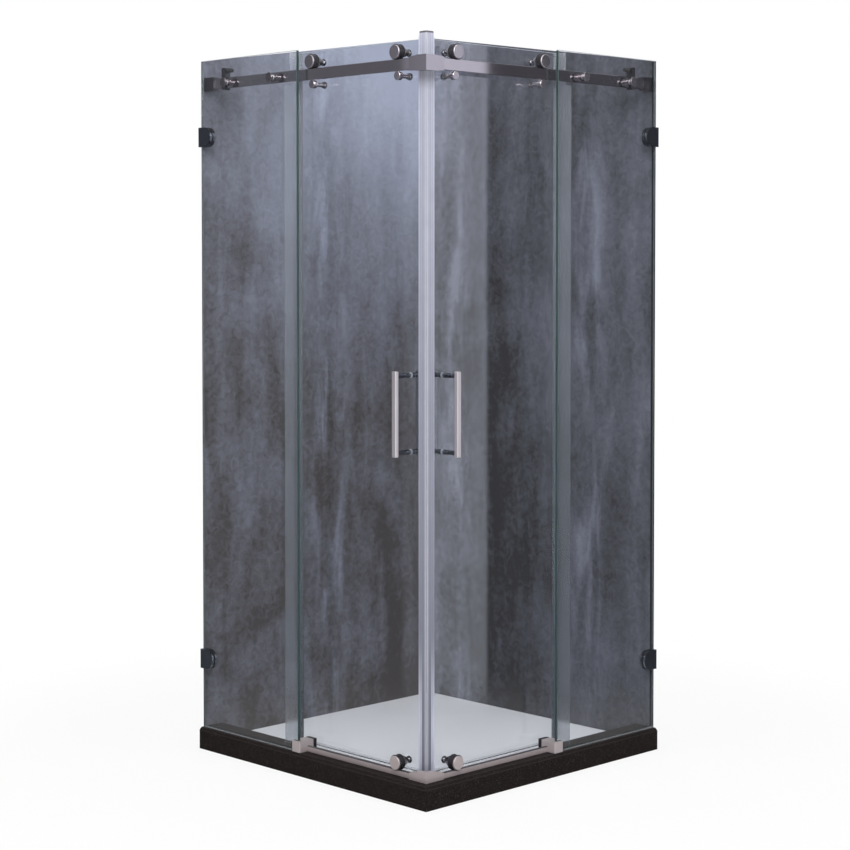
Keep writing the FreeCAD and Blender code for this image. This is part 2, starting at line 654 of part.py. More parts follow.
def axle(x, z):
    """A shoulder bolt with a broad round cap, from the cap to the nut inside the shower."""
    return turned(x, z, [
        (SHANK_END, 0), (SHANK_END, SHANK_R), (CONE_OUT, SHANK_R), (CONE_OUT, JOURNAL_R),
        (CAP_IN, JOURNAL_R), (CAP_IN, CAP_R), (CAP_OUT - EDGE, CAP_R), (CAP_OUT, CAP_R - EDGE),
        (CAP_OUT, 0),
    ])


def cone(x, z):
    """A tapered spacer between the wheel and the glass."""
    bore = SHANK_R + PLAY
    return turned(x, z, [
        (WASHER_T, bore), (WASHER_T, CONE_GLASS_R), (CONE_OUT - CONE_LAND, CONE_WHEEL_R),
        (CONE_OUT, CONE_WHEEL_R), (CONE_OUT, bore),
    ])


def lift_disc(x, z):
    """A disc on a stem that keeps the door from jumping off the top rail."""
    disc_in, disc_out = RAIL_IN - LIFT_OVERHANG, RAIL_OUT + LIFT_OVERHANG
    return turned(x, z, [
        (SHANK_END, 0), (SHANK_END, SHANK_R), (WASHER_T, SHANK_R), (WASHER_T, LIFT_STEM_R),
        (disc_in, LIFT_STEM_R), (disc_in, LIFT_R), (disc_out - EDGE, LIFT_R), (disc_out, LIFT_R - EDGE),
        (disc_out, 0),
    ])


def cap_nut(x, z):
    """A flanged cap nut on the shower side of the glass."""
    bore = SHANK_R + PLAY
    bottom = SHANK_END - NUT_BOTTOM
    end = INNER_SEAT - NUT_LENGTH
    return turned(x, z, [
        (INNER_SEAT, bore), (INNER_SEAT, NUT_FLANGE_R), (INNER_SEAT - NUT_FLANGE_T, NUT_FLANGE_R),
        (INNER_SEAT - NUT_FLANGE_T, NUT_R), (end + EDGE, NUT_R), (end, NUT_R - EDGE), (end, 0),
        (bottom, 0), (bottom, bore),
    ])


def save_base():
    for side in ("left", "right"):
        save("kerb_" + side, placed(kerb(), side))
    save("shower_floor", placed(floor(), "right"))


def save_rails():
    for side in ("left", "right"):
        save("top_rail_" + side, placed(top_rail(), side))
        save("bottom_rail_" + side, placed(low_rail(), side))
    save("top_rail_corner", placed(top_corner(), "right"))
    save("bottom_rail_corner", placed(low_corner(), "right"))
    save_sides("rail_wall_sockets", [wall_socket()])
    save_sides("rail_stops", [rail_stop()])
    save_sides("stop_bumpers", [stop_bumper()])
    save_sides("grub_screws", [grub_screw(x, RAIL_Z) for x in GRUB_XS])


def save_fixed_panels():
    for side in ("left", "right"):
        save("fixed_glass_" + side, placed(fixed_glass(), side))
    save_sides("fixed_sill_strips", [sill_strip()])
    save_sides("wall_clamp_bodies", [clamp_body(z) for z in CLAMP_ZS])
    save_sides("wall_clamp_inner_jaws", [clamp_inner_jaw(z) for z in CLAMP_ZS])
    save_sides("wall_clamp_gaskets", [pad for z in CLAMP_ZS for pad in clamp_gaskets(z)])
    save_sides("wall_clamp_bolts", [clamp_bolt(z) for z in CLAMP_ZS])
    save_sides("rail_standoff_caps", [standoff_cap(x) for x in STANDOFF_XS])
    save_sides("rail_standoff_spacers", [standoff_spacer(x) for x in STANDOFF_XS])
    bushes = [bush(x, RAIL_Z, FIXED_IN, FIXED_OUT) for x in STANDOFF_XS]
    washers = [inner_washer(x, RAIL_Z, FIXED_IN) for x in STANDOFF_XS]
    save_sides("rail_standoff_washers", bushes + washers)
    save_sides("foot_clips", [foot_clip()])
    save_sides("foot_clip_gaskets", [foot_gasket()])
    save_sides("door_guide_pads", [guide_pad()])


def save_door(side):
    def keep(name, *shapes):
        save("%s_%s" % (name, side), *[placed(shape, side) for shape in shapes])

    keep("door_glass", door_glass())
    keep("magnetic_seal", magnetic_seal())
    keep("magnet_strip", magnet_strip())
    keep("trailing_seal", trailing_seal())
    keep("door_sweep", door_sweep())
    keep("handle_outer", outer_handle())
    keep("handle_inner", inner_handle())
    keep("handle_washers", *handle_washers())
    keep("axle_bolts", *[axle(x, z) for x, z in AXLES.values()])
    keep("wheel_cones", *[cone(x, z) for x, z in AXLES.values()])
    keep("anti_lift_discs", *[lift_disc(x, z) for x, z in LIFTS])
    bushes = [bush(x, z, -GLASS, 0) for x, z in BOLT_HOLES]
    washers = [inner_washer(x, z, -GLASS) for x, z in BOLT_HOLES]
    keep("glass_bushes", *bushes, *washers)
    keep("cap_nuts", *[cap_nut(x, z) for x, z in BOLT_HOLES])
    for name, (x, z) in AXLES.items():
        keep("wheel_" + name, wheel(x, z))


os.makedirs("parts", exist_ok=True)
save_base()
save_rails()
save_fixed_panels()
for door_side in ("left", "right"):
    save_door(door_side)
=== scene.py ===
"""Looks of a square corner shower screen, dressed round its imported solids.

Lengths are metres in the frame of the part: +Z is up, the two doors meet at the corner in -X and -Y, and the
fixed panels end at the mounting planes in +X and +Y.
"""

import logging
import math
from collections.abc import Callable, Iterable
from dataclasses import dataclass
from enum import Enum
from typing import ClassVar

import bmesh
import bpy
from mathutils import Matrix, Vector

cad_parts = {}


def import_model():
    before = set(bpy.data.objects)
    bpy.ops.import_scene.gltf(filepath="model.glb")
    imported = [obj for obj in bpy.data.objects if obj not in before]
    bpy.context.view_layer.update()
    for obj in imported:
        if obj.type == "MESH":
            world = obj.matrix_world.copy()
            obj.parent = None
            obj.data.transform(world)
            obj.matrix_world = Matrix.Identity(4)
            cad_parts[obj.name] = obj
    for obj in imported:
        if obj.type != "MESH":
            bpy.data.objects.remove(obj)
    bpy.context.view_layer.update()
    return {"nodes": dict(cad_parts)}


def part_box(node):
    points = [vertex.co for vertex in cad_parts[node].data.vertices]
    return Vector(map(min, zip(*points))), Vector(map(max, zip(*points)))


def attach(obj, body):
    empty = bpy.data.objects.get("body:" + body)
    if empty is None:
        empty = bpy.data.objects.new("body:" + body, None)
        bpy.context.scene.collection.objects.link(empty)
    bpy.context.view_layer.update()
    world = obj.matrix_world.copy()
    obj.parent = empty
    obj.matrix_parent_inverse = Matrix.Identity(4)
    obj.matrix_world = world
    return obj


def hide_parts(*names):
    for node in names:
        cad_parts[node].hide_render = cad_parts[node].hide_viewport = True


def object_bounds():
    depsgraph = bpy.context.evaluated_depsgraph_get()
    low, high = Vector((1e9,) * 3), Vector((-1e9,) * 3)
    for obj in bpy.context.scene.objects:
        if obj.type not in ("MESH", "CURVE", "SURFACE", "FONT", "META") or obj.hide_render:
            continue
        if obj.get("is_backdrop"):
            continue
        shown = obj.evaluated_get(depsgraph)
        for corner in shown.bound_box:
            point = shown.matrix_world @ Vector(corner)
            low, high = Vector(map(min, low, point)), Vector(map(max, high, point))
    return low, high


LOG = logging.getLogger("shower_screen")
IMAGE_SIDE = 850
SENSOR_WIDTH = 36.0
BAR_EDGE = 0.0011
ROUND_SIDES = 40
PIN_HOLE_SIDES = 20
KEY_SIDES = 6
ROUNDING_ANGLE = math.radians(35)
FACING = 0.9
FLOOR_INSET = 0.6
FLOOR_DIP = 0.15
NOISE_MIDDLE = 0.5
BOUNCED = 0.5

Triple = tuple[float, float, float]
Span = tuple[float, float]
Colour = Triple
Settings = dict[str, object]
Piece = bpy.types.Object
Seat = tuple[Vector, Vector]


class Side(Enum):
    """The two sides of the corner: the way its rail runs and the way out of the shower."""

    LEFT = "left"
    RIGHT = "right"

    @property
    def along(self) -> str:
        """Return the axis that the rail of this side follows."""
        return "X" if self is Side.RIGHT else "Y"

    @property
    def across(self) -> str:
        """Return the axis that goes square through the glass of this side."""
        return "Y" if self is Side.RIGHT else "X"

    @property
    def inward(self) -> Vector:
        """Return the way from the glass of this side into the shower."""
        return Vector((0, 1, 0)) if self is Side.RIGHT else Vector((1, 0, 0))

    @property
    def outward(self) -> Vector:
        """Return the way along the rail of this side, from the front corner to its mounting plane."""
        return Vector((1, 0, 0)) if self is Side.RIGHT else Vector((0, 1, 0))

    @property
    def grain(self) -> "Grain":
        """Return the brushing that runs along the rail of this side."""
        return Grain.ALONG_X if self is Side.RIGHT else Grain.ALONG_Y

    @staticmethod
    def of(place: Vector) -> "Side":
        """Return the side that a place near the glass is on."""
        return Side.RIGHT if place.x > place.y else Side.LEFT


class Grain(Enum):
    """The way that a brushed or drawn finish runs, as the stretch of its noise."""

    ALONG_X = (30.0, 1400.0, 1400.0)
    ALONG_Y = (1400.0, 30.0, 1400.0)
    ALONG_Z = (1400.0, 1400.0, 30.0)
    EVEN = (800.0, 800.0, 800.0)


class Wire:
    """One output socket of a shader node that Python's operators work on."""

    def __init__(self, tree: "ShaderTree", socket: bpy.types.NodeSocket) -> None:
        """Keep the socket and the tree that it belongs to."""
        self.tree = tree
        self.socket = socket

    def other(self, name: str) -> "Wire":
        """Return another output of the same node."""
        return Wire(self.tree, self.socket.node.outputs[name])

    def between(self, low: float, high: float) -> "Wire":
        """Return a value from 0 to 1 spread out from low to high."""
        return self * (high - low) + low

    def __add__(self, value: "Wire | float") -> "Wire":
        """Return the sum."""
        return self.tree.maths("ADD", self, value)

    def __sub__(self, value: "Wire | float") -> "Wire":
        """Return the difference."""
        return self.tree.maths("SUBTRACT", self, value)

    def __rsub__(self, value: float) -> "Wire":
        """Return a number less this socket."""
        return self.tree.maths("SUBTRACT", value, self)

    def __mul__(self, value: "Wire | float") -> "Wire":
        """Return the product."""
        return self.tree.maths("MULTIPLY", self, value)

    def __gt__(self, value: "Wire | float") -> "Wire":
        """Return 1 where this socket is greater, else 0."""
        return self.tree.maths("GREATER_THAN", self, value)

    def __lt__(self, value: "Wire | float") -> "Wire":
        """Return 1 where this socket is less, else 0."""
        return self.tree.maths("LESS_THAN", self, value)

    def __abs__(self) -> "Wire":
        """Return the size without its sign."""
        return self.tree.maths("ABSOLUTE", self)

    __radd__ = __add__
    __rmul__ = __mul__


class ShaderTree:
    """The shader nodes of one material or world."""

    def __init__(self, owner: bpy.types.ID) -> None:
        """Empty the owner's node tree and keep it.

        Args:
            owner: The material or world that the nodes belong to.
        """
        owner.use_nodes = True
        self.tree = owner.node_tree
        self.tree.nodes.clear()

    def node(self, kind: str, settings: Settings | None = None, inputs: dict | None = None) -> Wire:
        """Add one node.

        Args:
            kind: The node's type.
            settings: Its properties, set first; "stops" are the places and colours of a ramp.
            inputs: A value or a Wire for each socket, by name or number.

        Returns:
            The first output that is in use.
        """
        made = self.tree.nodes.new(kind)
        for name, value in (settings or {}).items():
            if name == "stops":
                self.set_stops(made.color_ramp.elements, value)
            else:
                setattr(made, name, value)
        for name, value in (inputs or {}).items():
            if isinstance(value, Wire):
                self.tree.links.new(value.socket, made.inputs[name])
            else:
                made.inputs[name].default_value = value
        return Wire(self, next((socket for socket in made.outputs if socket.enabled), None))

    @staticmethod
    def set_stops(elements: bpy.types.bpy_prop_collection, stops: Iterable) -> None:
        """Give a colour ramp its stops.

        Args:
            elements: The stops of the ramp, which has two to start with.
            stops: The place and colour of each stop.
        """
        for index, (place, colour) in enumerate(stops):
            stop = elements[index] if index < 2 else elements.new(place)
            stop.position = place
            stop.color = (*colour, 1.0)

    def maths(self, operation: str, *values: Wire | float) -> Wire:
        """Return a Math node's result on up to three values."""
        return self.node("ShaderNodeMath", {"operation": operation}, dict(enumerate(values)))

    def least(self, *values: Wire) -> Wire:
        """Find the least of some sockets.

        Args:
            values: The sockets.

        Returns:
            The least value.
        """
        best = values[0]
        for value in values[1:]:
            best = self.maths("MINIMUM", best, value)
        return best

    def place(self) -> Wire:
        """Return the coordinates of the surface in the frame of the part."""
        return self.node("ShaderNodeTexCoord").other("Object")

    def axes(self) -> Wire:
        """Return the same coordinates with outputs X, Y and Z."""
        return self.node("ShaderNodeSeparateXYZ", None, {0: self.place()})

    def noise(self, scale: float, detail: float = 3.0, stretch: Triple | None = None, twist: float = 0.0) -> Wire:
        """Return noise from 0 to 1.

        Args:
            scale: How many waves there are in a metre.
            detail: How many finer octaves are added.
            stretch: A further scale for each axis.
            twist: How far the waves are swirled.

        Returns:
            The noise value.
        """
        where = self.place()
        if stretch:
            where = self.node("ShaderNodeMapping", None, {"Vector": where, "Scale": stretch})
        inputs = {"Vector": where, "Scale": scale, "Detail": detail, "Distortion": twist}
        return self.node("ShaderNodeTexNoise", None, inputs)

    def step(self, value: Wire, start: float, end: float) -> Wire:
        """Return 0 up to a start value and 1 from an end value, with a soft rise between them."""
        inputs = {"Value": value, "From Min": start, "From Max": end}
        return self.node("ShaderNodeMapRange", {"interpolation_type": "SMOOTHSTEP"}, inputs)

    def cells(self, scale: float) -> Wire:
        """Return Voronoi cells, with outputs Distance and Color."""
        return self.node("ShaderNodeTexVoronoi", None, {"Vector": self.place(), "Scale": scale})

    def ramp(self, value: Wire, *stops: tuple[float, Colour]) -> Wire:
        """Return a colour ramp driven by a value."""
        return self.node("ShaderNodeValToRGB", {"stops": stops}, {"Fac": value})

    def blend(self, share: Wire, first: "Wire | Colour", second: "Wire | Colour") -> Wire:
        """Return the first colour where the share is 0 and the second where it is 1."""
        pair = [value if isinstance(value, Wire) else (*value, 1.0) for value in (first, second)]
        return self.node("ShaderNodeMix", {"data_type": "RGBA"}, {0: share, 6: pair[0], 7: pair[1]})

    def bump(self, height: Wire, depth: float, strength: float = 0.5) -> Wire:
        """Return a normal pushed by a height of that depth in metres."""
        return self.node("ShaderNodeBump", None, {"Height": height, "Distance": depth, "Strength": strength})

    def surface(self, colour: "Wire | Colour", roughness: "Wire | float", rest: dict | None = None) -> Wire:
        """Return a Principled shader.

        Args:
            colour: Its base colour.
            roughness: Its roughness.
            rest: Values for its other sockets.

        Returns:
            The shader.
        """
        base = colour if isinstance(colour, Wire) else (*colour, 1.0)
        inputs = {"Base Color": base, "Roughness": roughness, **(rest or {})}
        return self.node("ShaderNodeBsdfPrincipled", None, inputs)

    def mix(self, share: Wire, first: Wire, second: Wire) -> Wire:
        """Return the first shader where the share is 0 and the second where it is 1."""
        return self.node("ShaderNodeMixShader", None, {0: share, 1: first, 2: second})

    def let_lamps_through(self, shader: Wire, tint: Colour) -> Wire:
        """Return the shader, clear to the rays that go to lamps."""
        clear = self.node("ShaderNodeBsdfTransparent", None, {"Color": (*tint, 1.0)})
        return self.mix(self.node("ShaderNodeLightPath").other("Is Shadow Ray"), shader, clear)


@dataclass(frozen=True)
class Finish:
    """A finish under its own name."""

    name: str
    even_share: ClassVar[float] = 0.55
    line_share_of_roughness: ClassVar[float] = 0.6
    cloud_share_of_roughness: ClassVar[float] = 0.3

    def shade(self, tree: ShaderTree) -> Wire:
        """Return the shader of this finish."""
        raise NotImplementedError

    def material(self) -> bpy.types.Material:
        """Return the material of this finish, made once.

        Returns:
            The material under the name of the finish.
        """
        made = bpy.data.materials.get(self.name)
        if made is None:
            made = bpy.data.materials.new(self.name)
            tree = ShaderTree(made)
            tree.node("ShaderNodeOutputMaterial", None, {"Surface": self.shade(tree)})
        return made

    def uneven(self, roughness: float, lines: Wire, cloud: Wire) -> Wire:
        """Return a roughness that varies with fine lines and a broad cloud."""
        varied = self.even_share + lines * self.line_share_of_roughness
        return roughness * (varied + cloud * self.cloud_share_of_roughness)

    def lay_on(self, piece: Piece) -> None:
        """Give a piece this finish alone."""
        piece.data.materials.clear()
        piece.data.materials.append(self.material())


@dataclass(frozen=True)
class BrushedSteel(Finish):
    """Stainless steel with fine brushing and a soft uneven sheen."""

    light: Colour
    dark: Colour
    roughness: float
    grain: Grain
    metallic: float
    cloud_scale: ClassVar[float] = 14.0
    line_share: ClassVar[float] = 0.55
    line_depth: ClassVar[float] = 0.00002

    def shade(self, tree: ShaderTree) -> Wire:
        """Make brushed metal whose lines run with the grain.

        Args:
            tree: The tree that takes the nodes.

        Returns:
            The shader.
        """
        lines, cloud = self.brushing(tree)
        colour = self.tone(tree, self.mottle(lines, cloud))
        normal = tree.bump(lines, self.line_depth, self.roughness)
        roughness = self.uneven(self.roughness, lines, cloud)
        return tree.surface(colour, roughness, {"Metallic": self.metallic, "Normal": normal})

    def brushing(self, tree: ShaderTree) -> tuple[Wire, Wire]:
        """Return the fine lines along the grain and the broad cloud of the sheen."""
        return tree.noise(1.0, detail=4.0, stretch=self.grain.value), tree.noise(self.cloud_scale, detail=2.0)

    def mottle(self, lines: Wire, cloud: Wire) -> Wire:
        """Return lines and cloud together, from 0 to 1."""
        return lines * self.line_share + cloud * (1.0 - self.line_share)

    def tone(self, tree: ShaderTree, mottle: Wire) -> Wire:
        """Return the colour that a mottle from 0 to 1 gives."""
        return tree.blend(mottle, self.dark, self.light)


@dataclass(frozen=True)
class LowRailSteel(BrushedSteel):
    """Brushed steel whose upper face gets painted shade, standing in for the dark reflection it shows."""

    top: float
    painted_top_shade: Colour = (0.10, 0.092, 0.098)

    def tone(self, tree: ShaderTree, mottle: Wire) -> Wire:
        """Return the colour of the steel, with painted shade on its upper face."""
        return tree.blend(tree.axes().other("Z") > self.top, super().tone(tree, mottle), self.painted_top_shade)


@dataclass(frozen=True)
class HandleSteel(BrushedSteel):
    """A pale satin outer bar, with posts and an inner bar of smooth metal painted dark as shade and dark reflections.
    """

    side: Side
    post_end: float
    pane: Span
    painted_shade_post_light: Colour = (0.17, 0.175, 0.195)
    painted_shade_post_dark: Colour = (0.09, 0.095, 0.11)
    post_roughness: float = 0.12
    line_gloss: ClassVar[float] = 0.18
    cloud_gloss: ClassVar[float] = 0.10
    line_depth: ClassVar[float] = 0.00004
    line_strength: ClassVar[float] = 0.35

    def shade(self, tree: ShaderTree) -> Wire:
        """Make brushed metal on the outer bar, smooth metal behind it that is painted dark as shade, and bright studs
        in the pane.

        Args:
            tree: The tree that takes the nodes.

        Returns:
            The shader.
        """
        lines, cloud = self.brushing(tree)
        mottle = self.mottle(lines, cloud)
        depth = tree.axes().other(self.side.across)
        post = depth > self.post_end
        stud = (depth > self.pane[0]) * (depth < self.pane[1])
        bar = self.tone(tree, mottle)
        # Posts and inner bar take painted shade: dark tones for the shade and dark reflections they sit in.
        colour = tree.blend(post, bar, tree.blend(mottle, self.painted_shade_post_dark, self.painted_shade_post_light))
        colour = tree.blend(stud, colour, bar)
        satin = self.roughness + (lines - NOISE_MIDDLE) * self.line_gloss + (cloud - NOISE_MIDDLE) * self.cloud_gloss
        roughness = satin + post * (self.post_roughness - satin)
        normal = tree.bump(lines, self.line_depth, self.line_strength)
        return tree.surface(colour, roughness, {"Metallic": self.metallic, "Normal": normal})


@dataclass(frozen=True)
class TurnedSteel(Finish):
    """Stainless steel with the rings that a lathe leaves round each axis."""

    light: Colour
    dark: Colour
    roughness: float
    side: Side
    axes: tuple[Span, ...]
    rim_start: float = 0.0160
    rim_roughness: float = 0.35
    rim_width: ClassVar[float] = 0.001
    ring_scale: ClassVar[float] = 2600.0
    ring_share: ClassVar[float] = 0.6
    ring_depth: ClassVar[float] = 0.00002
    cloud_scale: ClassVar[float] = 40.0

    def shade(self, tree: ShaderTree) -> Wire:
        """Make metal with fine rings round the nearest axis, duller on the rounded rim of a cap.

        Args:
            tree: The tree that takes the nodes.

        Returns:
            The shader.
        """
        rings = self.rings(tree)
        cloud = tree.noise(self.cloud_scale, detail=2.0)
        colour = self.mottled(tree, rings, cloud)
        rim = tree.step(self.radius(tree), self.rim_start, self.rim_start + self.rim_width)
        roughness = self.uneven(self.roughness, rings, cloud) + rim * self.rim_roughness
        normal = tree.bump(rings, self.ring_depth, self.roughness)
        return tree.surface(colour, roughness, {"Metallic": 1.0, "Normal": normal})

    def mottled(self, tree: ShaderTree, rings: Wire, cloud: Wire) -> Wire:
        """Return the colour that rings and a cloud give together."""
        return tree.blend(rings * self.ring_share + cloud * (1.0 - self.ring_share), self.dark, self.light)

    def rings(self, tree: ShaderTree) -> Wire:
        """Return noise that changes only with the distance from the nearest axis."""
        inputs = {"W": self.radius(tree), "Scale": self.ring_scale, "Detail": 2.0}
        return tree.node("ShaderNodeTexNoise", {"noise_dimensions": "1D"}, inputs)

    def radius(self, tree: ShaderTree) -> Wire:
        """Measure how far the surface is from the nearest axis.

        Args:
            tree: The tree that takes the nodes.

        Returns:
            The distance in metres.
        """
        where = tree.axes()
        gaps = []
        for along, height in self.axes:
            across = where.other(self.side.along) - along
            rise = where.other("Z") - height
            gaps.append(tree.maths("SQRT", across * across + rise * rise))
        return tree.least(*gaps)


@dataclass(frozen=True)
class AxleSteel(TurnedSteel):
    """Turned steel that is bright on the upper axles and satin on the low one."""

    satin_below: float = 0.3

    def shade(self, tree: ShaderTree) -> Wire:
        """Return bright turned metal, or satin steel near the foot."""
        low = tree.axes().other("Z") < self.satin_below
        return tree.mix(low, super().shade(tree), SATIN_STEEL.shade(tree))


@dataclass(frozen=True)
class MouldedNylon(TurnedSteel):
    """Black nylon wheels, turned smooth on the tread."""

    ring_share: ClassVar[float] = 0.4
    ring_depth: ClassVar[float] = 0.00004
    ring_strength: ClassVar[float] = 0.4
    scuff_scale: ClassVar[float] = 260.0
    scuff_gloss: ClassVar[float] = 0.25

    def shade(self, tree: ShaderTree) -> Wire:
        """Make dark plastic with faint turning rings and scuffs.

        Args:
            tree: The tree that takes the nodes.

        Returns:
            The shader.
        """
        rings = self.rings(tree)
        scuff = tree.noise(self.scuff_scale, detail=4.0)
        colour = self.mottled(tree, rings, scuff)
        roughness = self.roughness + (scuff - NOISE_MIDDLE) * self.scuff_gloss
        normal = tree.bump(rings + scuff, self.ring_depth, self.ring_strength)
        return tree.surface(colour, roughness, {"Normal": normal})


@dataclass(frozen=True)
class ToughenedGlass(Finish):
    """A clear pane whose ground rim shows the green of its depth."""

    side: Side
    along: Span
    height: Span
    rim_width: float = 0.0011
    tint: Colour = (0.945, 0.962, 0.972)
    rim: Colour = (0.013, 0.038, 0.040)
    pale_rim: Colour = (0.045, 0.095, 0.093)
    painted_light_top_rim: Colour = (0.46, 0.50, 0.54)
    shaded_rim: Colour = (0.018, 0.034, 0.036)
    refraction: ClassVar[float] = 1.5
    wave_scale: ClassVar[float] = 3.5
    wave_depth: ClassVar[float] = 0.0003
    wave_strength: ClassVar[float] = 0.1
    film_scale: ClassVar[float] = 9.0
    film_roughness: ClassVar[float] = 0.012
    ground_scale: ClassVar[float] = 420.0
    rim_clearness: ClassVar[float] = 0.35
    rim_roughness: ClassVar[Span] = (0.25, 0.45)

    def shade(self, tree: ShaderTree) -> Wire:
        """Make clear glass with faint roller waves and a ground rim, painted light on its top and painted shade at
        its foot and far end.

        Args:
            tree: The tree that takes the nodes.

        Returns:
            The shader.
        """
        waves = tree.bump(tree.noise(self.wave_scale, detail=1.0), self.wave_depth, self.wave_strength)
        film = tree.noise(self.film_scale, detail=3.0)
        inputs = {"Transmission Weight": 1.0, "IOR": self.refraction, "Normal": waves}
        pane = tree.surface(self.tint, film * self.film_roughness, inputs)
        ground = tree.noise(self.ground_scale, detail=3.0)
        where = tree.axes()
        at_top = where.other("Z") > self.height[1] - self.rim_width
        at_foot = where.other("Z") < self.height[0] + self.rim_width
        at_far_end = where.other(self.side.along) > self.along[1] - self.rim_width
        # The top rim gets painted light: a pale tone for the light it catches.
        colour = tree.blend(at_top, tree.blend(ground, self.rim, self.pale_rim), self.painted_light_top_rim)
        # The foot and far end of the rim get painted shade.
        colour = tree.blend(tree.maths("MAXIMUM", at_foot, at_far_end), colour, self.shaded_rim)
        inputs = {"Transmission Weight": self.rim_clearness, "IOR": self.refraction}
        rim = tree.surface(colour, ground.between(*self.rim_roughness), inputs)
        return tree.let_lamps_through(tree.mix(self.at_rim(tree), pane, rim), self.tint)

    def at_rim(self, tree: ShaderTree) -> Wire:
        """Find the narrow faces of the pane.

        Args:
            tree: The tree that takes the nodes.

        Returns:
            1 on them, else 0.
        """
        where = tree.axes()
        across, rise = where.other(self.side.along), where.other("Z")
        gaps = (across - self.along[0], self.along[1] - across, rise - self.height[0], self.height[1] - rise)
        return tree.least(*gaps) < self.rim_width


@dataclass(frozen=True)
class ExtrudedSeal(Finish):
    """Soft plastic with the draw lines of its die, from milky to almost clear."""

    grain: Grain
    milk: Colour
    clear: Colour
    see_through: float
    roughness: float
    body: float
    refraction: ClassVar[float] = 1.48
    line_scale: ClassVar[float] = 0.6
    line_depth: ClassVar[float] = 0.00005
    line_strength: ClassVar[float] = 0.4
    line_gloss: ClassVar[Span] = (0.6, 1.4)
    cloud_scale: ClassVar[float] = 30.0

    def shade(self, tree: ShaderTree) -> Wire:
        """Make plastic that lets part of the light through.

        Args:
            tree: The tree that takes the nodes.

        Returns:
            The shader.
        """
        lines = tree.noise(self.line_scale, detail=3.0, stretch=self.grain.value)
        colour = self.tone(tree, lines * 0.5 + tree.noise(self.cloud_scale, detail=2.0) * 0.5)
        inputs = {"Transmission Weight": self.see_through, "IOR": self.refraction, "Alpha": self.body,
                  "Normal": tree.bump(lines, self.line_depth, self.line_strength)}
        skin = tree.surface(colour, lines.between(*self.line_gloss) * self.roughness, inputs)
        return tree.let_lamps_through(skin, self.clear)

    def tone(self, tree: ShaderTree, mottle: Wire) -> Wire:
        """Return the colour that a mottle from 0 to 1 gives."""
        return tree.blend(mottle, self.milk, self.clear)


@dataclass(frozen=True)
class TrailingSeal(ExtrudedSeal):
    """A clear upright seal, greyer towards its foot."""

    top: float
    foot_colour: Colour = (0.58, 0.61, 0.65)

    def tone(self, tree: ShaderTree, mottle: Wire) -> Wire:
        """Return clear plastic, greyer towards the foot."""
        rise = tree.axes().other("Z") * (1.0 / self.top)
        return tree.blend(rise, self.foot_colour, super().tone(tree, mottle))


@dataclass(frozen=True)
class MagneticSeal(ExtrudedSeal):
    """A milky seal that shows the walls of its magnet chamber as fine lines, with painted shade towards its foot and
    on its top end.
    """

    side: Side
    corner: float
    end: float
    tip: float = 0.0068
    flank: float = 0.0165
    line_places: tuple[float, ...] = (0.0085, 0.0145, 0.0205)
    line_width: float = 0.0011
    line: Colour = (0.27, 0.28, 0.40)
    line_share: float = 0.5
    painted_shade_end_colour: Colour = (0.15, 0.145, 0.165)
    foot_colour: Colour = (0.185, 0.19, 0.25)
    foot_share: float = 0.95
    fade_height: float = 2.1
    tip_share: float = 0.6
    flank_heights: Span = (0.18, 0.45)

    def tone(self, tree: ShaderTree, mottle: Wire) -> Wire:
        """Colour the plastic milky with upright lines, darker towards the foot with painted shade shaped by its
        magnet chamber, and with painted shade on the top end.

        Args:
            tree: The tree that takes the nodes.
            mottle: Fine noise from 0 to 1.

        Returns:
            The colour.
        """
        where = tree.axes()
        rise = where.other("Z")
        behind = where.other(self.side.along) - self.corner
        walls = 0.0
        for place in self.line_places:
            walls = (abs(behind - place) < self.line_width) + walls
        colour = tree.blend(walls * self.line_share, super().tone(tree, mottle), self.line)
        # Painted shade: darker towards the foot, less at the tip and only low on the flank.
        painted_foot_shade = self.foot_share - rise * (self.foot_share / self.fade_height)
        painted_foot_shade = painted_foot_shade * (1.0 - (behind < self.tip) * self.tip_share)
        painted_foot_shade = painted_foot_shade * (1.0 - (behind > self.flank) * (1.0 - tree.step(rise, *self.flank_heights)))
        colour = tree.blend(painted_foot_shade, colour, self.foot_colour)
        # Painted shade on the top end of the seal.
        return tree.blend(rise > self.end, colour, self.painted_shade_end_colour)


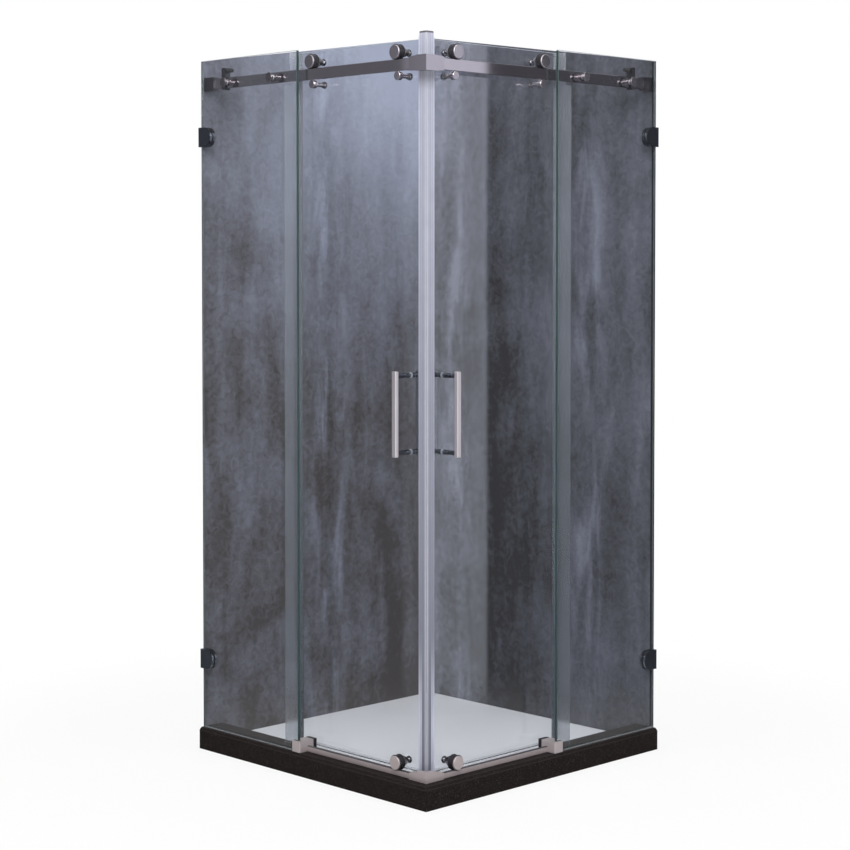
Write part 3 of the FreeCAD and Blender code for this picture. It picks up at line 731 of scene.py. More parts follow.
@dataclass(frozen=True)
class HonedStone(Finish):
    """Near-black granite with brown grains, pale flecks and pale arris lines that are painted highlights."""

    ground: Colour
    grain: Colour
    fleck: Colour
    outer: float
    top: float
    bevel: float
    crystal_scale: ClassVar[float] = 520.0
    crystal_depth: ClassVar[float] = 0.0002
    crystal_strength: ClassVar[float] = 0.25
    fleck_start: ClassVar[float] = 0.95
    highlight_scale: ClassVar[float] = 900.0
    highlight_reach: ClassVar[float] = 0.0012
    highlight_depth: ClassVar[float] = 0.0008
    highlight_share: ClassVar[Span] = (0.35, 0.75)
    roughness: ClassVar[Span] = (0.50, 0.70)
    gloss: ClassVar[float] = 0.05

    def shade(self, tree: ShaderTree) -> Wire:
        """Make speckled stone, with painted highlights along the edges of its bevel.

        Args:
            tree: The tree that takes the nodes.

        Returns:
            The shader.
        """
        crystal = tree.cells(self.crystal_scale)
        tone = tree.node("ShaderNodeSeparateColor", None, {0: crystal.other("Color")})
        colour = tree.blend(tone, self.ground, self.grain)
        colour = tree.blend(tone.other("Green") > self.fleck_start, colour, self.fleck)
        # Painted highlight: pale broken lines along both edges of the bevel.
        painted_highlight = self.bevel_highlight(tree) * tree.noise(self.highlight_scale, detail=3.0).between(*self.highlight_share)
        colour = tree.blend(painted_highlight, colour, self.fleck)
        roughness = tone.other("Blue").between(*self.roughness)
        normal = tree.bump(crystal, self.crystal_depth, self.crystal_strength)
        return tree.surface(colour, roughness, {"Specular IOR Level": self.gloss, "Normal": normal})

    def bevel_highlight(self, tree: ShaderTree) -> Wire:
        """Find the edges of the bevel that get a painted highlight.

        Args:
            tree: The tree that takes the nodes.

        Returns:
            1 within a millimetre or so of either edge, else 0.
        """
        where = tree.axes()
        rise, out = where.other("Z"), tree.least(where.other("X"), where.other("Y"))
        at_low_edge = abs(rise - (self.top - self.bevel)) < self.highlight_reach
        at_high_edge = abs(out - (self.outer + self.bevel)) < self.highlight_reach
        on_side, on_top = out < self.outer + self.highlight_depth, rise > self.top - self.highlight_depth
        return at_low_edge * on_side + at_high_edge * on_top


@dataclass(frozen=True)
class CastResin(Finish):
    """White satin resin with a fine slip-proof pebble."""

    pale: Colour
    shade_colour: Colour
    cloud_scale: ClassVar[float] = 5.0
    pebble_scale: ClassVar[float] = 260.0
    pebble_depth: ClassVar[float] = 0.0004
    pebble_strength: ClassVar[float] = 0.3
    roughness: ClassVar[Span] = (0.32, 0.48)

    def shade(self, tree: ShaderTree) -> Wire:
        """Make pale resin with broad clouds and small pebbles.

        Args:
            tree: The tree that takes the nodes.

        Returns:
            The shader.
        """
        cloud = tree.noise(self.cloud_scale, detail=3.0)
        colour = tree.blend(cloud, self.shade_colour, self.pale)
        normal = tree.bump(tree.cells(self.pebble_scale), self.pebble_depth, self.pebble_strength)
        return tree.surface(colour, cloud.between(*self.roughness), {"Normal": normal})


@dataclass(frozen=True)
class SoftRubber(Finish):
    """Dull dark rubber or bonded magnet with a dusty grain."""

    light: Colour
    dark: Colour
    dust_scale: ClassVar[float] = 650.0
    dust_depth: ClassVar[float] = 0.00008
    cloud_scale: ClassVar[float] = 60.0
    roughness: ClassVar[Span] = (0.62, 0.87)
    gloss: ClassVar[float] = 0.3

    def shade(self, tree: ShaderTree) -> Wire:
        """Make dull rubber.

        Args:
            tree: The tree that takes the nodes.

        Returns:
            The shader.
        """
        dust = tree.noise(self.dust_scale, detail=4.0)
        cloud = tree.noise(self.cloud_scale, detail=2.0)
        colour = tree.blend(dust * 0.5 + cloud * 0.5, self.dark, self.light)
        inputs = {"Specular IOR Level": self.gloss, "Normal": tree.bump(dust, self.dust_depth)}
        return tree.surface(colour, dust.between(*self.roughness), inputs)


@dataclass(frozen=True)
class BackdropSheet(Finish):
    """A slate-grey stage sheet, softly clouded, with painted light and shade, and clear from behind."""

    pale: Colour
    slate: Colour
    along: str
    foot: float
    slope: float
    climb: float
    lean: float
    painted_corner_light: float
    veins: tuple[float, ...]
    contrast: float
    shadow_strip: float
    shadow_strip_colour: Colour = (0.012, 0.011, 0.013)
    patch_scale: ClassVar[float] = 2.4
    patch_weight: ClassVar[float] = 1.1
    streak_stretch: ClassVar[Triple] = (15.0, 15.0, 3.0)
    streak_weight: ClassVar[float] = 0.9
    streak_edges: ClassVar[Span] = (0.48, 0.72)
    grain_scale: ClassVar[float] = 48.0
    grain_weight: ClassVar[float] = 0.7
    rise_power: ClassVar[float] = 3.0
    corner_edges: ClassVar[Span] = (0.16, 0.42)
    corner_contrast: ClassVar[float] = 2.2
    vein_edges: ClassVar[Span] = (0.02, 0.085)
    vein_weight: ClassVar[float] = 0.5
    roughness: ClassVar[Span] = (0.75, 0.90)
    gloss: ClassVar[float] = 0.2

    def shade(self, tree: ShaderTree) -> Wire:
        """Make dull cloudy grey, with painted light making it paler and bluer towards the top and the far corner, and
        a painted shadow strip at the near edge.

        Args:
            tree: The tree that takes the nodes.

        Returns:
            The shader.
        """
        patches = tree.noise(self.patch_scale, detail=4.0, twist=0.8)
        streaks = tree.noise(1.0, detail=6.0, stretch=self.streak_stretch, twist=0.5)
        grain = tree.noise(self.grain_scale, detail=5.0, twist=1.0)
        cloud = patches * self.patch_weight + streaks * self.streak_weight + grain * self.grain_weight
        middle = (self.patch_weight + self.streak_weight + self.grain_weight) / 2
        where = tree.axes()
        rise, across = where.other("Z"), where.other(self.along)
        # Painted light: the level rises with height and along the sheet, with a painted light patch towards the far
        # corner.
        height = tree.maths("POWER", rise, self.rise_power)
        level = height * (across * self.lean + self.climb) + across * self.slope + self.foot
        corner = tree.step(across, *self.corner_edges)
        level = level + corner * self.painted_corner_light
        band = 0.0
        for vein in self.veins:
            band = (1.0 - tree.step(abs(across - vein), *self.vein_edges)) + band
        level = level + band * tree.step(streaks, *self.streak_edges) * (self.vein_weight * self.contrast)
        contrast = self.contrast + corner * (self.corner_contrast * self.painted_corner_light)
        colour = tree.ramp((cloud - middle) * contrast + level, (0.0, self.slate), (1.0, self.pale))
        # Painted shadow: a dark strip along the near edge.
        colour = tree.blend(across < self.shadow_strip, colour, self.shadow_strip_colour)
        sheet = tree.surface(colour, patches.between(*self.roughness), {"Specular IOR Level": self.gloss})
        clear = tree.node("ShaderNodeBsdfTransparent")
        return tree.mix(tree.node("ShaderNodeNewGeometry").other("Backfacing"), sheet, clear)


@dataclass(frozen=True)
class StageFloor(Finish):
    """A plain pale floor that shows white to the eye and keeps the shadow and reflection of what is near."""

    pale: Colour = (0.90, 0.90, 0.90)
    glow: float = 0.80
    near: float = 0.7
    far: float = 1.8
    mirrored: Colour = (0.10, 0.10, 0.11)
    mirrored_share: float = 0.62
    roughness: float = 0.8
    gloss: float = 0.1

    def shade(self, tree: ShaderTree) -> Wire:
        """Make a dull pale floor that fades with distance into the white surround, with a painted dark reflection of
        it in shiny surfaces.

        Args:
            tree: The tree that takes the nodes.

        Returns:
            The shader.
        """
        dull = tree.surface(self.pale, self.roughness, {"Specular IOR Level": self.gloss})
        white = tree.node("ShaderNodeEmission", None, {"Color": (1.0, 1.0, 1.0, 1.0), "Strength": 1.0})
        path = tree.node("ShaderNodeLightPath")
        seen = tree.maths("MAXIMUM", path.other("Is Camera Ray"), path.other("Is Transmission Ray"))
        distance = tree.node("ShaderNodeVectorMath", {"operation": "LENGTH"}, {0: tree.place()}).other("Value")
        fade = tree.step(distance, self.near, self.far)
        floor = tree.mix(seen * (self.glow + fade * (1.0 - self.glow)), dull, white)
        glossy = path.other("Glossy Depth") > BOUNCED
        # Painted reflection: reflected rays see the floor as a dark grey.
        painted_dark = tree.node("ShaderNodeBsdfDiffuse", None, {"Color": (*self.mirrored, 1.0)})
        floor = tree.mix(glossy * self.mirrored_share, floor, painted_dark)
        return tree.mix(glossy * fade, floor, tree.node("ShaderNodeBsdfTransparent"))


def fitting_steel(name: str, light: Colour, dark: Colour, roughness: float, metallic: float = 1.0) -> BrushedSteel:
    """Return steel for small fittings, brushed every way alike."""
    return BrushedSteel(name, light, dark, roughness, Grain.EVEN, metallic)


# Pairs of tones between which a finish varies
STEEL_TONES = (0.51, 0.46, 0.485), (0.365, 0.325, 0.345)
POLISHED_TONES = (0.83, 0.755, 0.735), (0.71, 0.64, 0.625)
LOW_RAIL_TONES = (0.64, 0.55, 0.55), (0.49, 0.42, 0.42)
CLIP_TONES = (0.64, 0.565, 0.565), (0.49, 0.43, 0.43)
# Painted shade: a dark copy of the steel for parts that sit in shade and dark reflections.
SHADE_PAINTED_TONES = (0.26, 0.235, 0.245), (0.16, 0.145, 0.15)
# Clamp tones: dark steel with a pale bluish tint that is a painted reflection.
CLAMP_STEEL_AND_REFLECTION_TONES = (0.17, 0.18, 0.205), (0.09, 0.095, 0.11)
GUNMETAL_TONES = (0.105, 0.095, 0.102), (0.05, 0.045, 0.05)
BLACK_TONES = (0.022, 0.020, 0.023), (0.009, 0.008, 0.010)
MAGNET_TONES = (0.05, 0.038, 0.034), (0.022, 0.017, 0.016)
MILK_TONES = (0.56, 0.57, 0.66), (0.80, 0.81, 0.90)
WASHER_TONES = (0.33, 0.36, 0.41), (0.46, 0.49, 0.55)
CLEAR_TONES = (0.80, 0.83, 0.87), (0.92, 0.94, 0.97)
BRIGHT_CLEAR_TONES = (0.90, 0.92, 0.95), (0.98, 0.985, 1.0)

SATIN_METALLIC = 0.55
RUBBER = SoftRubber("black_rubber", *BLACK_TONES)
GUIDE_BLACK = SoftRubber("black_guide_plastic", *BLACK_TONES)
MAGNET = SoftRubber("bonded_magnet", *MAGNET_TONES)
GUNMETAL = fitting_steel("dark_satin_steel", *GUNMETAL_TONES, roughness=0.33)
CLAMP_STEEL = fitting_steel("dark_polished_steel", *CLAMP_STEEL_AND_REFLECTION_TONES, roughness=0.14)
BRIGHT_STEEL = fitting_steel("bright_steel", *STEEL_TONES, roughness=0.09)
# Standoffs take the same painted shade tones.
STANDOFF_STEEL = fitting_steel("standoff_steel", *SHADE_PAINTED_TONES, roughness=0.25)
SATIN_STEEL = fitting_steel("satin_steel", *LOW_RAIL_TONES, roughness=0.40, metallic=SATIN_METALLIC)
CLIP_STEEL = fitting_steel("dull_clip_steel", *CLIP_TONES, roughness=0.40, metallic=SATIN_METALLIC)
# Washers: milky plastic whose pale tone also stands in for a glint at the glass hole, a painted highlight.
MILKY_WASHER = ExtrudedSeal(
    "milky_washer", Grain.EVEN, *WASHER_TONES, see_through=0.25, roughness=0.30, body=1.0)
CLEAR_SILL = ExtrudedSeal("clear_sill_strip", Grain.EVEN, *CLEAR_TONES, see_through=0.85, roughness=0.12, body=1.0)


def rail_steel(side: Side) -> BrushedSteel:
    """Return the steel of the rails of one side, brushed along them."""
    return BrushedSteel(f"rail_steel_{side.value}", *STEEL_TONES, roughness=0.03, grain=side.grain, metallic=1.0)


def low_rail_steel(side: Side) -> LowRailSteel:
    """Make the duller steel of the bottom rail of one side.

    Args:
        side: The side.

    Returns:
        The finish.
    """
    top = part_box(f"bottom_rail_{side.value}")[1].z - BAR_EDGE
    return LowRailSteel(
        f"low_rail_steel_{side.value}", *LOW_RAIL_TONES, roughness=0.42, grain=side.grain, metallic=SATIN_METALLIC,
        top=top)


def glass_of(side: Side, node: str, sunk: float = 0.0) -> ToughenedGlass:
    """Return the glass of one pane, its rim set to the pane's own edges.

    Args:
        side: The side that the pane is on.
        node: The name of the pane.
        sunk: How deep its foot is hidden in a channel.

    Returns:
        The finish of that pane.
    """
    low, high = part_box(node)
    index = "XYZ".index(side.along)
    return ToughenedGlass(f"glass_of_{node}", side, (low[index], high[index]), (low.z - sunk, high.z))


def let_go() -> None:
    """Deselect every object."""
    bpy.ops.object.select_all(action="DESELECT")


def apply_modifier(piece: Piece, kind: str, settings: Settings) -> None:
    """Add a modifier to a piece and apply it.

    Args:
        piece: The piece.
        kind: The modifier's type.
        settings: Its properties.
    """
    modifier = piece.modifiers.new(kind.lower(), kind)
    for name, value in settings.items():
        setattr(modifier, name, value)
    let_go()
    piece.select_set(True)
    bpy.context.view_layer.objects.active = piece
    bpy.ops.object.modifier_apply(modifier=modifier.name)


def select_faces(piece: Piece, wanted: Callable[[bmesh.types.BMFace], bool]) -> None:
    """Select the faces of a piece that pass a test, and no others.

    Args:
        piece: The piece, in edit mode.
        wanted: The test of a face.
    """
    mesh = bmesh.from_edit_mesh(piece.data)
    bpy.ops.mesh.select_all(action="DESELECT")
    for face in mesh.faces:
        face.select_set(wanted(face))
    bmesh.update_edit_mesh(piece.data)


def extrude_rounds(name: str, stations: tuple[Span, ...]) -> Piece:
    """Model a round piece upright at the origin, by extruding a disc from station to station.

    Args:
        name: The name of the piece.
        stations: The height and radius of each ring, from the foot up.

    Returns:
        The closed piece.
    """
    let_go()
    height, radius = stations[0]
    bpy.ops.mesh.primitive_circle_add(vertices=ROUND_SIDES, radius=radius, fill_type="NGON", location=(0, 0, height))
    piece = bpy.context.object
    piece.name = name
    bpy.ops.object.transform_apply(location=True, rotation=False, scale=False)
    bpy.ops.object.mode_set(mode="EDIT")
    bpy.ops.mesh.select_all(action="SELECT")
    for next_height, next_radius in stations[1:]:
        bpy.ops.mesh.extrude_region_move(TRANSFORM_OT_translate={"value": (0, 0, next_height - height)})
        grow = next_radius / radius
        bpy.ops.transform.resize(value=(grow, grow, 1), center_override=(0, 0, next_height))
        height, radius = next_height, next_radius
    bpy.ops.mesh.select_all(action="SELECT")
    bpy.ops.mesh.normals_make_consistent(inside=False)
    bpy.ops.object.mode_set(mode="OBJECT")
    return piece


def cut_pocket(piece: Piece, sides: int, radius: float, depth: float, mouth: Vector) -> None:
    """Cut a blind pocket into the top of a piece that stands at the origin.

    Args:
        piece: The piece.
        sides: The corners of the pocket: six for a hexagon key, more for a round hole.
        radius: The radius of its corners.
        depth: How deep it goes.
        mouth: The middle of its mouth.
    """
    let_go()
    bpy.ops.mesh.primitive_cylinder_add(vertices=sides, radius=radius, depth=2 * depth, location=mouth)
    cutter = bpy.context.object
    bpy.ops.object.mode_set(mode="EDIT")
    select_faces(cutter, lambda face: face.normal.z < -FACING)
    bpy.ops.mesh.inset(thickness=radius * FLOOR_INSET, depth=depth * FLOOR_DIP)
    bpy.ops.object.mode_set(mode="OBJECT")
    apply_modifier(piece, "BOOLEAN", {"operation": "DIFFERENCE", "object": cutter, "solver": "EXACT"})
    bpy.data.objects.remove(cutter)


def soften(piece: Piece, width: float) -> None:
    """Round the sharp edges of a piece and smooth its curved faces.

    Args:
        piece: The piece.
        width: How wide the rounding is.
    """
    settings = {"width": width, "segments": 2, "limit_method": "ANGLE", "angle_limit": ROUNDING_ANGLE}
    apply_modifier(piece, "BEVEL", settings)
    bpy.ops.object.shade_smooth_by_angle(angle=ROUNDING_ANGLE)


def copy_to(pattern: Piece, name: str, places: Iterable[Seat]) -> Piece:
    """Set out copies of a piece as one piece, and delete the pattern.

    Args:
        pattern: The piece, upright at the origin.
        name: The name of the new piece.
        places: Where each copy's origin goes, and where its upright axis points.

    Returns:
        The copies joined into one piece at the origin.
    """
    let_go()
    for origin, upright in places:
        copy = pattern.copy()
        copy.data = pattern.data.copy()
        bpy.context.collection.objects.link(copy)
        turn = Vector((0, 0, 1)).rotation_difference(upright).to_matrix().to_4x4()
        copy.data.transform(Matrix.Translation(origin) @ turn)
        copy.select_set(True)
        bpy.context.view_layer.objects.active = copy
    bpy.ops.object.join()
    joined = bpy.context.object
    bpy.data.objects.remove(pattern)
    joined.name = name
    return joined


def solid_boxes(piece: Piece, reach: float) -> list[tuple[Vector, Vector]]:
    """Find the separate solids in a node by their distance from each other.

    Args:
        piece: The node's object.
        reach: The longest distance between two corners of one solid.

    Returns:
        The lowest and highest corner of each solid.
    """
    groups: list[list[Vector]] = []
    for vertex in piece.data.vertices:
        home = next((group for group in groups if (group[0] - vertex.co).length < reach), None)
        if home is None:
            groups.append([vertex.co.copy()])
        else:
            home.append(vertex.co.copy())
    corners = []
    for group in groups:
        low = Vector(min(point[axis] for point in group) for axis in range(3))
        high = Vector(max(point[axis] for point in group) for axis in range(3))
        corners.append((low, high))
    return corners


@dataclass
class Assembly:
    """What every sub-assembly shares: the nodes of the frame and the ways to dress and replace them."""

    nodes: dict[str, Piece]

    def lay(self, finish: Finish, *names: str) -> list[str]:
        """Lay one finish on some nodes of the frame.

        Args:
            finish: The finish.
            names: The nodes.

        Returns:
            A line on each node for the log.
        """
        for name in names:
            finish.lay_on(self.nodes[name])
        return [f"{name}: {finish.name}" for name in names]

    def seats(self, node: str, reach: float, shift: float) -> list[Seat]:
        """Find where the copies of a fastener go.

        Args:
            node: The node whose solids the copies stand for.
            reach: The longest distance between two corners of one solid.
            shift: How far a copy's origin lies inward of the middle of its solid.

        Returns:
            The origin of each copy and the way inward there.
        """
        found = []
        for low, high in solid_boxes(self.nodes[node], reach):
            middle = (low + high) / 2
            inward = Side.of(middle).inward
            found.append((middle + inward * shift, inward))
        return found

    def stand_in(
            self, piece: Piece, node: str, finish: Finish, slot: str, body: str = "frame") -> str:
        """Let a new piece stand for a node of the frame.

        Args:
            piece: The new piece.
            node: The node that it stands for.
            finish: The finish that it gets.
            slot: The slot of the record that the finish belongs to; not used.
            body: The body that the piece moves with.

        Returns:
            A line on the piece for the log.
        """
        finish.lay_on(piece)
        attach(piece, body)
        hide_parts(node)
        return f"{piece.name}: {finish.name}, stands for {node}"


@dataclass
class StoneBase(Assembly):
    """The stone kerbs with their bevel and the white floor between them."""

    bevel: float = 0.007

    def dress(self) -> list[str]:
        """Lay stone on the kerbs and resin on the floor.

        Returns:
            A line on each node for the log.
        """
        low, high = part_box("kerb_right")
        stone = HonedStone(
            "dark_granite", ground=(0.0085, 0.0068, 0.0066), grain=(0.024, 0.0178, 0.0168),
            fleck=(0.042, 0.035, 0.034), outer=low.y, top=high.z, bevel=self.bevel)
        resin = CastResin("white_resin", pale=(0.80, 0.795, 0.825), shade_colour=(0.75, 0.745, 0.775))
        return self.lay(stone, "kerb_left", "kerb_right") + self.lay(resin, "shower_floor")


@dataclass
class RailSet(Assembly):
    """The top and bottom rails, their corner pieces, wall sockets, stops, bumpers and grub screws."""

    grub_radius: float = 0.003
    grub_length: float = 0.004
    grub_key: float = 0.003
    grub_socket: float = 0.0025
    grub_rounding: float = 0.0003
    grub_point: float = 0.0004
    bumper_radius: float = 0.006
    bumper_length: float = 0.022
    rib: float = 0.0006
    dome: tuple[Span, ...] = (
        (0.0, 0.40), (0.02, 0.55), (0.045, 0.75), (0.08, 0.90), (0.13, 0.98), (0.18, 1.0))
    groove_starts: tuple[float, ...] = (0.34, 0.58)
    groove_slope: float = 0.02
    groove_width: float = 0.09
    bumper_smoothing: float = math.radians(40)

    def build(self) -> list[str]:
        """Model the grub screws with their sockets and the ribbed bumpers.

        Returns:
            A line on each piece for the log.
        """
        return [self.build_grub_screws(), self.build_bumpers()]

    def build_grub_screws(self) -> str:
        """Model one grub screw and set copies into the fittings of the top rail.

        Returns:
            A line on the piece for the log.
        """
        length, radius = self.grub_length, self.grub_radius
        stations = ((-length, radius - self.grub_rounding), (self.grub_point - length, radius), (0.0, radius))
        pattern = extrude_rounds("grub_screw", stations)
        cut_pocket(pattern, KEY_SIDES, self.grub_key / math.sqrt(3), self.grub_socket, Vector())
        soften(pattern, self.grub_rounding)
        piece = copy_to(pattern, "socket_grub_screws", self.seats("grub_screws", 3 * length, length / 2))
        return self.stand_in(piece, "grub_screws", GUNMETAL, "dark_steel")

    def build_bumpers(self) -> str:
        """Model one bumper with a domed nose and two grooves, and put one on each stop.

        Returns:
            A line on the piece for the log.
        """
        radius, length, waist = self.bumper_radius, self.bumper_length, self.bumper_radius - self.rib
        stations = [(length * along, radius * share) for along, share in self.dome]
        for start in self.groove_starts:
            end, slope = start + self.groove_width, self.groove_slope
            groove = ((start, radius), (start + slope, waist), (end - slope, waist), (end, radius))
            stations += [(length * along, size) for along, size in groove]
        stations.append((length, radius))
        pattern = extrude_rounds("bumper", tuple(stations))
        let_go()
        pattern.select_set(True)
        bpy.ops.object.shade_smooth_by_angle(angle=self.bumper_smoothing)
        places = []
        for low, high in solid_boxes(self.nodes["stop_bumpers"], 2 * length):
            middle = (low + high) / 2
            way = Side.of(middle).outward
            places.append((middle - way * length / 2, way))
        piece = copy_to(pattern, "ribbed_bumpers", places)
        return self.stand_in(piece, "stop_bumpers", RUBBER, "black_rubber")

    def dress(self) -> list[str]:
        """Lay brushed steel along the rails and darker steel on the fittings.

        Returns:
            A line on each node for the log.
        """
        lines = []
        for side in Side:
            lines += self.lay(rail_steel(side), f"top_rail_{side.value}")
            lines += self.lay(low_rail_steel(side), f"bottom_rail_{side.value}")
        lines += self.lay(BRIGHT_STEEL, "top_rail_corner") + self.lay(SATIN_STEEL, "bottom_rail_corner")
        return lines + self.lay(GUNMETAL, "rail_wall_sockets", "rail_stops")


@dataclass
class FixedPanels(Assembly):
    """The fixed panes with their wall clamps, rail standoffs, foot clips and sill strips."""

    bolt_radius: float = 0.004
    head_radius: float = 0.007
    head_height: float = 0.0025
    bolt_key: float = 0.005
    bolt_socket: float = 0.002
    bolt_reach: float = 0.05
    rounding: float = 0.0004

    def build(self) -> list[str]:
        """Model one clamp bolt with its socket head and set copies into the clamps.

        Returns:
            A line on the piece for the log.
        """
        low, high = solid_boxes(self.nodes["wall_clamp_bolts"], self.bolt_reach)[0]
        length = abs((high - low).dot(Side.of((low + high) / 2).inward))
        stations = ((-length, self.bolt_radius), (-self.head_height, self.bolt_radius),
                    (-self.head_height, self.head_radius), (0.0, self.head_radius))
        pattern = extrude_rounds("clamp_bolt", stations)
        cut_pocket(pattern, KEY_SIDES, self.bolt_key / math.sqrt(3), self.bolt_socket, Vector())
        soften(pattern, self.rounding)
        places = self.seats("wall_clamp_bolts", self.bolt_reach, length / 2)
        piece = copy_to(pattern, "socket_clamp_bolts", places)
        return [self.stand_in(piece, "wall_clamp_bolts", GUNMETAL, "dark_steel")]

    def dress(self) -> list[str]:
        """Lay glass, steel and clear plastic on the panels and their fittings.

        Returns:
            A line on each node for the log.
        """
        lines = []
        for side in Side:
            pane = f"fixed_glass_{side.value}"
            lines += self.lay(glass_of(side, pane), pane)
        lines += self.lay(CLAMP_STEEL, "wall_clamp_bodies", "wall_clamp_inner_jaws")
        lines += self.lay(STANDOFF_STEEL, "rail_standoff_caps", "rail_standoff_spacers")
        lines += self.lay(CLIP_STEEL, "foot_clips")
        lines += self.lay(RUBBER, "wall_clamp_gaskets", "foot_clip_gaskets")
        lines += self.lay(GUIDE_BLACK, "door_guide_pads")
        return lines + self.lay(CLEAR_SILL, "fixed_sill_strips", "rail_standoff_washers")


@dataclass
class SlidingDoor(Assembly):
    """One sliding door: its pane, seals, handles, roller sets and wheels."""

    side: Side
    disc_reach: float = 0.05
    bar_thickness: float = 0.012
    seal_end: float = 0.0045
    channel_depth: float = 0.01
    nut_radius: float = 0.008
    nut_length: float = 0.005
    nut_edge: float = 0.001
    nut_rounding: float = 0.0002
    flange_radius: float = 0.0095
    flange_thickness: float = 0.002
    nut_reach: float = 0.025
    pin_radius: float = 0.0011
    pin_depth: float = 0.0011
    pin_offset: float = 0.0045

    def axes_of(self, *names: str) -> tuple[Span, ...]:
        """Find the turned axes in some nodes.

        Args:
            names: The nodes, each of one or more round solids.

        Returns:
            The place along the rail and the height of each axis.
        """
        index = "XYZ".index(self.side.along)
        found = []
        for name in names:
            for low, high in solid_boxes(self.nodes[name], self.disc_reach):
                middle = (low + high) / 2
                found.append((round(middle[index], 5), round(middle.z, 5)))
        return tuple(found)

    def build(self) -> list[str]:
        """Model one cap nut with the pin holes that it is tightened by, and set copies inside the glass.

        Returns:
            A line on the piece for the log.
        """
        end, top = self.side.value, self.nut_length
        stations = ((0.0, self.flange_radius), (self.flange_thickness, self.flange_radius),
                    (self.flange_thickness, self.nut_radius), (top - self.nut_edge, self.nut_radius),
                    (top, self.nut_radius - self.nut_edge))
        pattern = extrude_rounds("cap_nut", stations)
        for offset in (-self.pin_offset, self.pin_offset):
            cut_pocket(pattern, PIN_HOLE_SIDES, self.pin_radius, self.pin_depth, Vector((offset, 0, top)))
        soften(pattern, self.nut_rounding)
        places = self.seats(f"cap_nuts_{end}", self.nut_reach, -top / 2)
        piece = copy_to(pattern, f"pinned_cap_nuts_{end}", places)
        return [self.stand_in(piece, f"cap_nuts_{end}", self.shade_painted_steel(), "rail_steel", f"{end}_door")]

    def shade_painted_steel(self) -> TurnedSteel:
        """Make the turned steel of this door's cones and nuts, painted dark as shade and dark reflections.

        Returns:
            The finish.
        """
        axes = self.axes_of(f"wheel_cones_{self.side.value}")
        return TurnedSteel(
            f"smoky_steel_{self.side.value}", *SHADE_PAINTED_TONES, roughness=0.24, side=self.side, axes=axes)

    def magnetic_seal(self) -> MagneticSeal:
        """Make the milky plastic of this door's magnetic seal, set to the seal's own edges.

        Returns:
            The finish.
        """
        low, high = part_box(f"magnetic_seal_{self.side.value}")
        return MagneticSeal(
            f"milky_seal_{self.side.value}", Grain.ALONG_Z, *MILK_TONES, see_through=0.30, roughness=0.36, body=1.0,
            side=self.side, corner=low["XYZ".index(self.side.along)], end=high.z - self.seal_end)

    def trailing_seal(self) -> TrailingSeal:
        """Make the clear plastic of this door's trailing seal, set to the seal's own height.

        Returns:
            The finish.
        """
        end = self.side.value
        return TrailingSeal(
            f"clear_upright_seal_{end}", Grain.ALONG_Z, *BRIGHT_CLEAR_TONES, see_through=0.97, roughness=0.12,
            body=0.85, top=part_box(f"trailing_seal_{end}")[1].z)

    def handle_steel(self) -> HandleSteel:
        """Make the steel of this door's handles, whose posts start behind the outer bar.

        Returns:
            The finish.
        """
        end, index = self.side.value, "XYZ".index(self.side.across)
        outer_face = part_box(f"handle_outer_{end}")[0][index]
        pane = tuple(corner[index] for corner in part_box(f"door_glass_{end}"))
        return HandleSteel(
            f"handle_steel_{end}", *POLISHED_TONES, roughness=0.40, grain=Grain.ALONG_Z, metallic=1.0, side=self.side,
            post_end=outer_face + self.bar_thickness, pane=pane)

    def dress(self) -> list[str]:
        """Lay glass, plastic, steel and nylon on every piece of the door.

        Returns:
            A line on each node for the log.
        """
        end = self.side.value
        pane = f"door_glass_{end}"
        wheels = [f"wheel_{place}_{end}" for place in ("top_front", "top_rear", "low_front")]
        wheel_axes = self.axes_of(*wheels)
        all_axes = wheel_axes + self.axes_of(f"anti_lift_discs_{end}")
        turned = AxleSteel(f"turned_steel_{end}", *STEEL_TONES, roughness=0.10, side=self.side, axes=all_axes)
        nylon = MouldedNylon(f"black_nylon_{end}", *BLACK_TONES, roughness=0.42, side=self.side, axes=wheel_axes)
        sweep = ExtrudedSeal(
            f"clear_sweep_{end}", self.side.grain, *CLEAR_TONES, see_through=0.98, roughness=0.06, body=0.2)
        lines = self.lay(glass_of(self.side, pane, self.channel_depth), pane)
        lines += self.lay(self.magnetic_seal(), f"magnetic_seal_{end}")
        lines += self.lay(self.trailing_seal(), f"trailing_seal_{end}")
        lines += self.lay(sweep, f"door_sweep_{end}", f"glass_bushes_{end}")
        lines += self.lay(MILKY_WASHER, f"handle_washers_{end}")
        lines += self.lay(MAGNET, f"magnet_strip_{end}")
        lines += self.lay(self.handle_steel(), f"handle_outer_{end}", f"handle_inner_{end}")
        lines += self.lay(self.shade_painted_steel(), f"wheel_cones_{end}")
        lines += self.lay(turned, f"axle_bolts_{end}", f"anti_lift_discs_{end}")
        return lines + self.lay(nylon, *wheels)


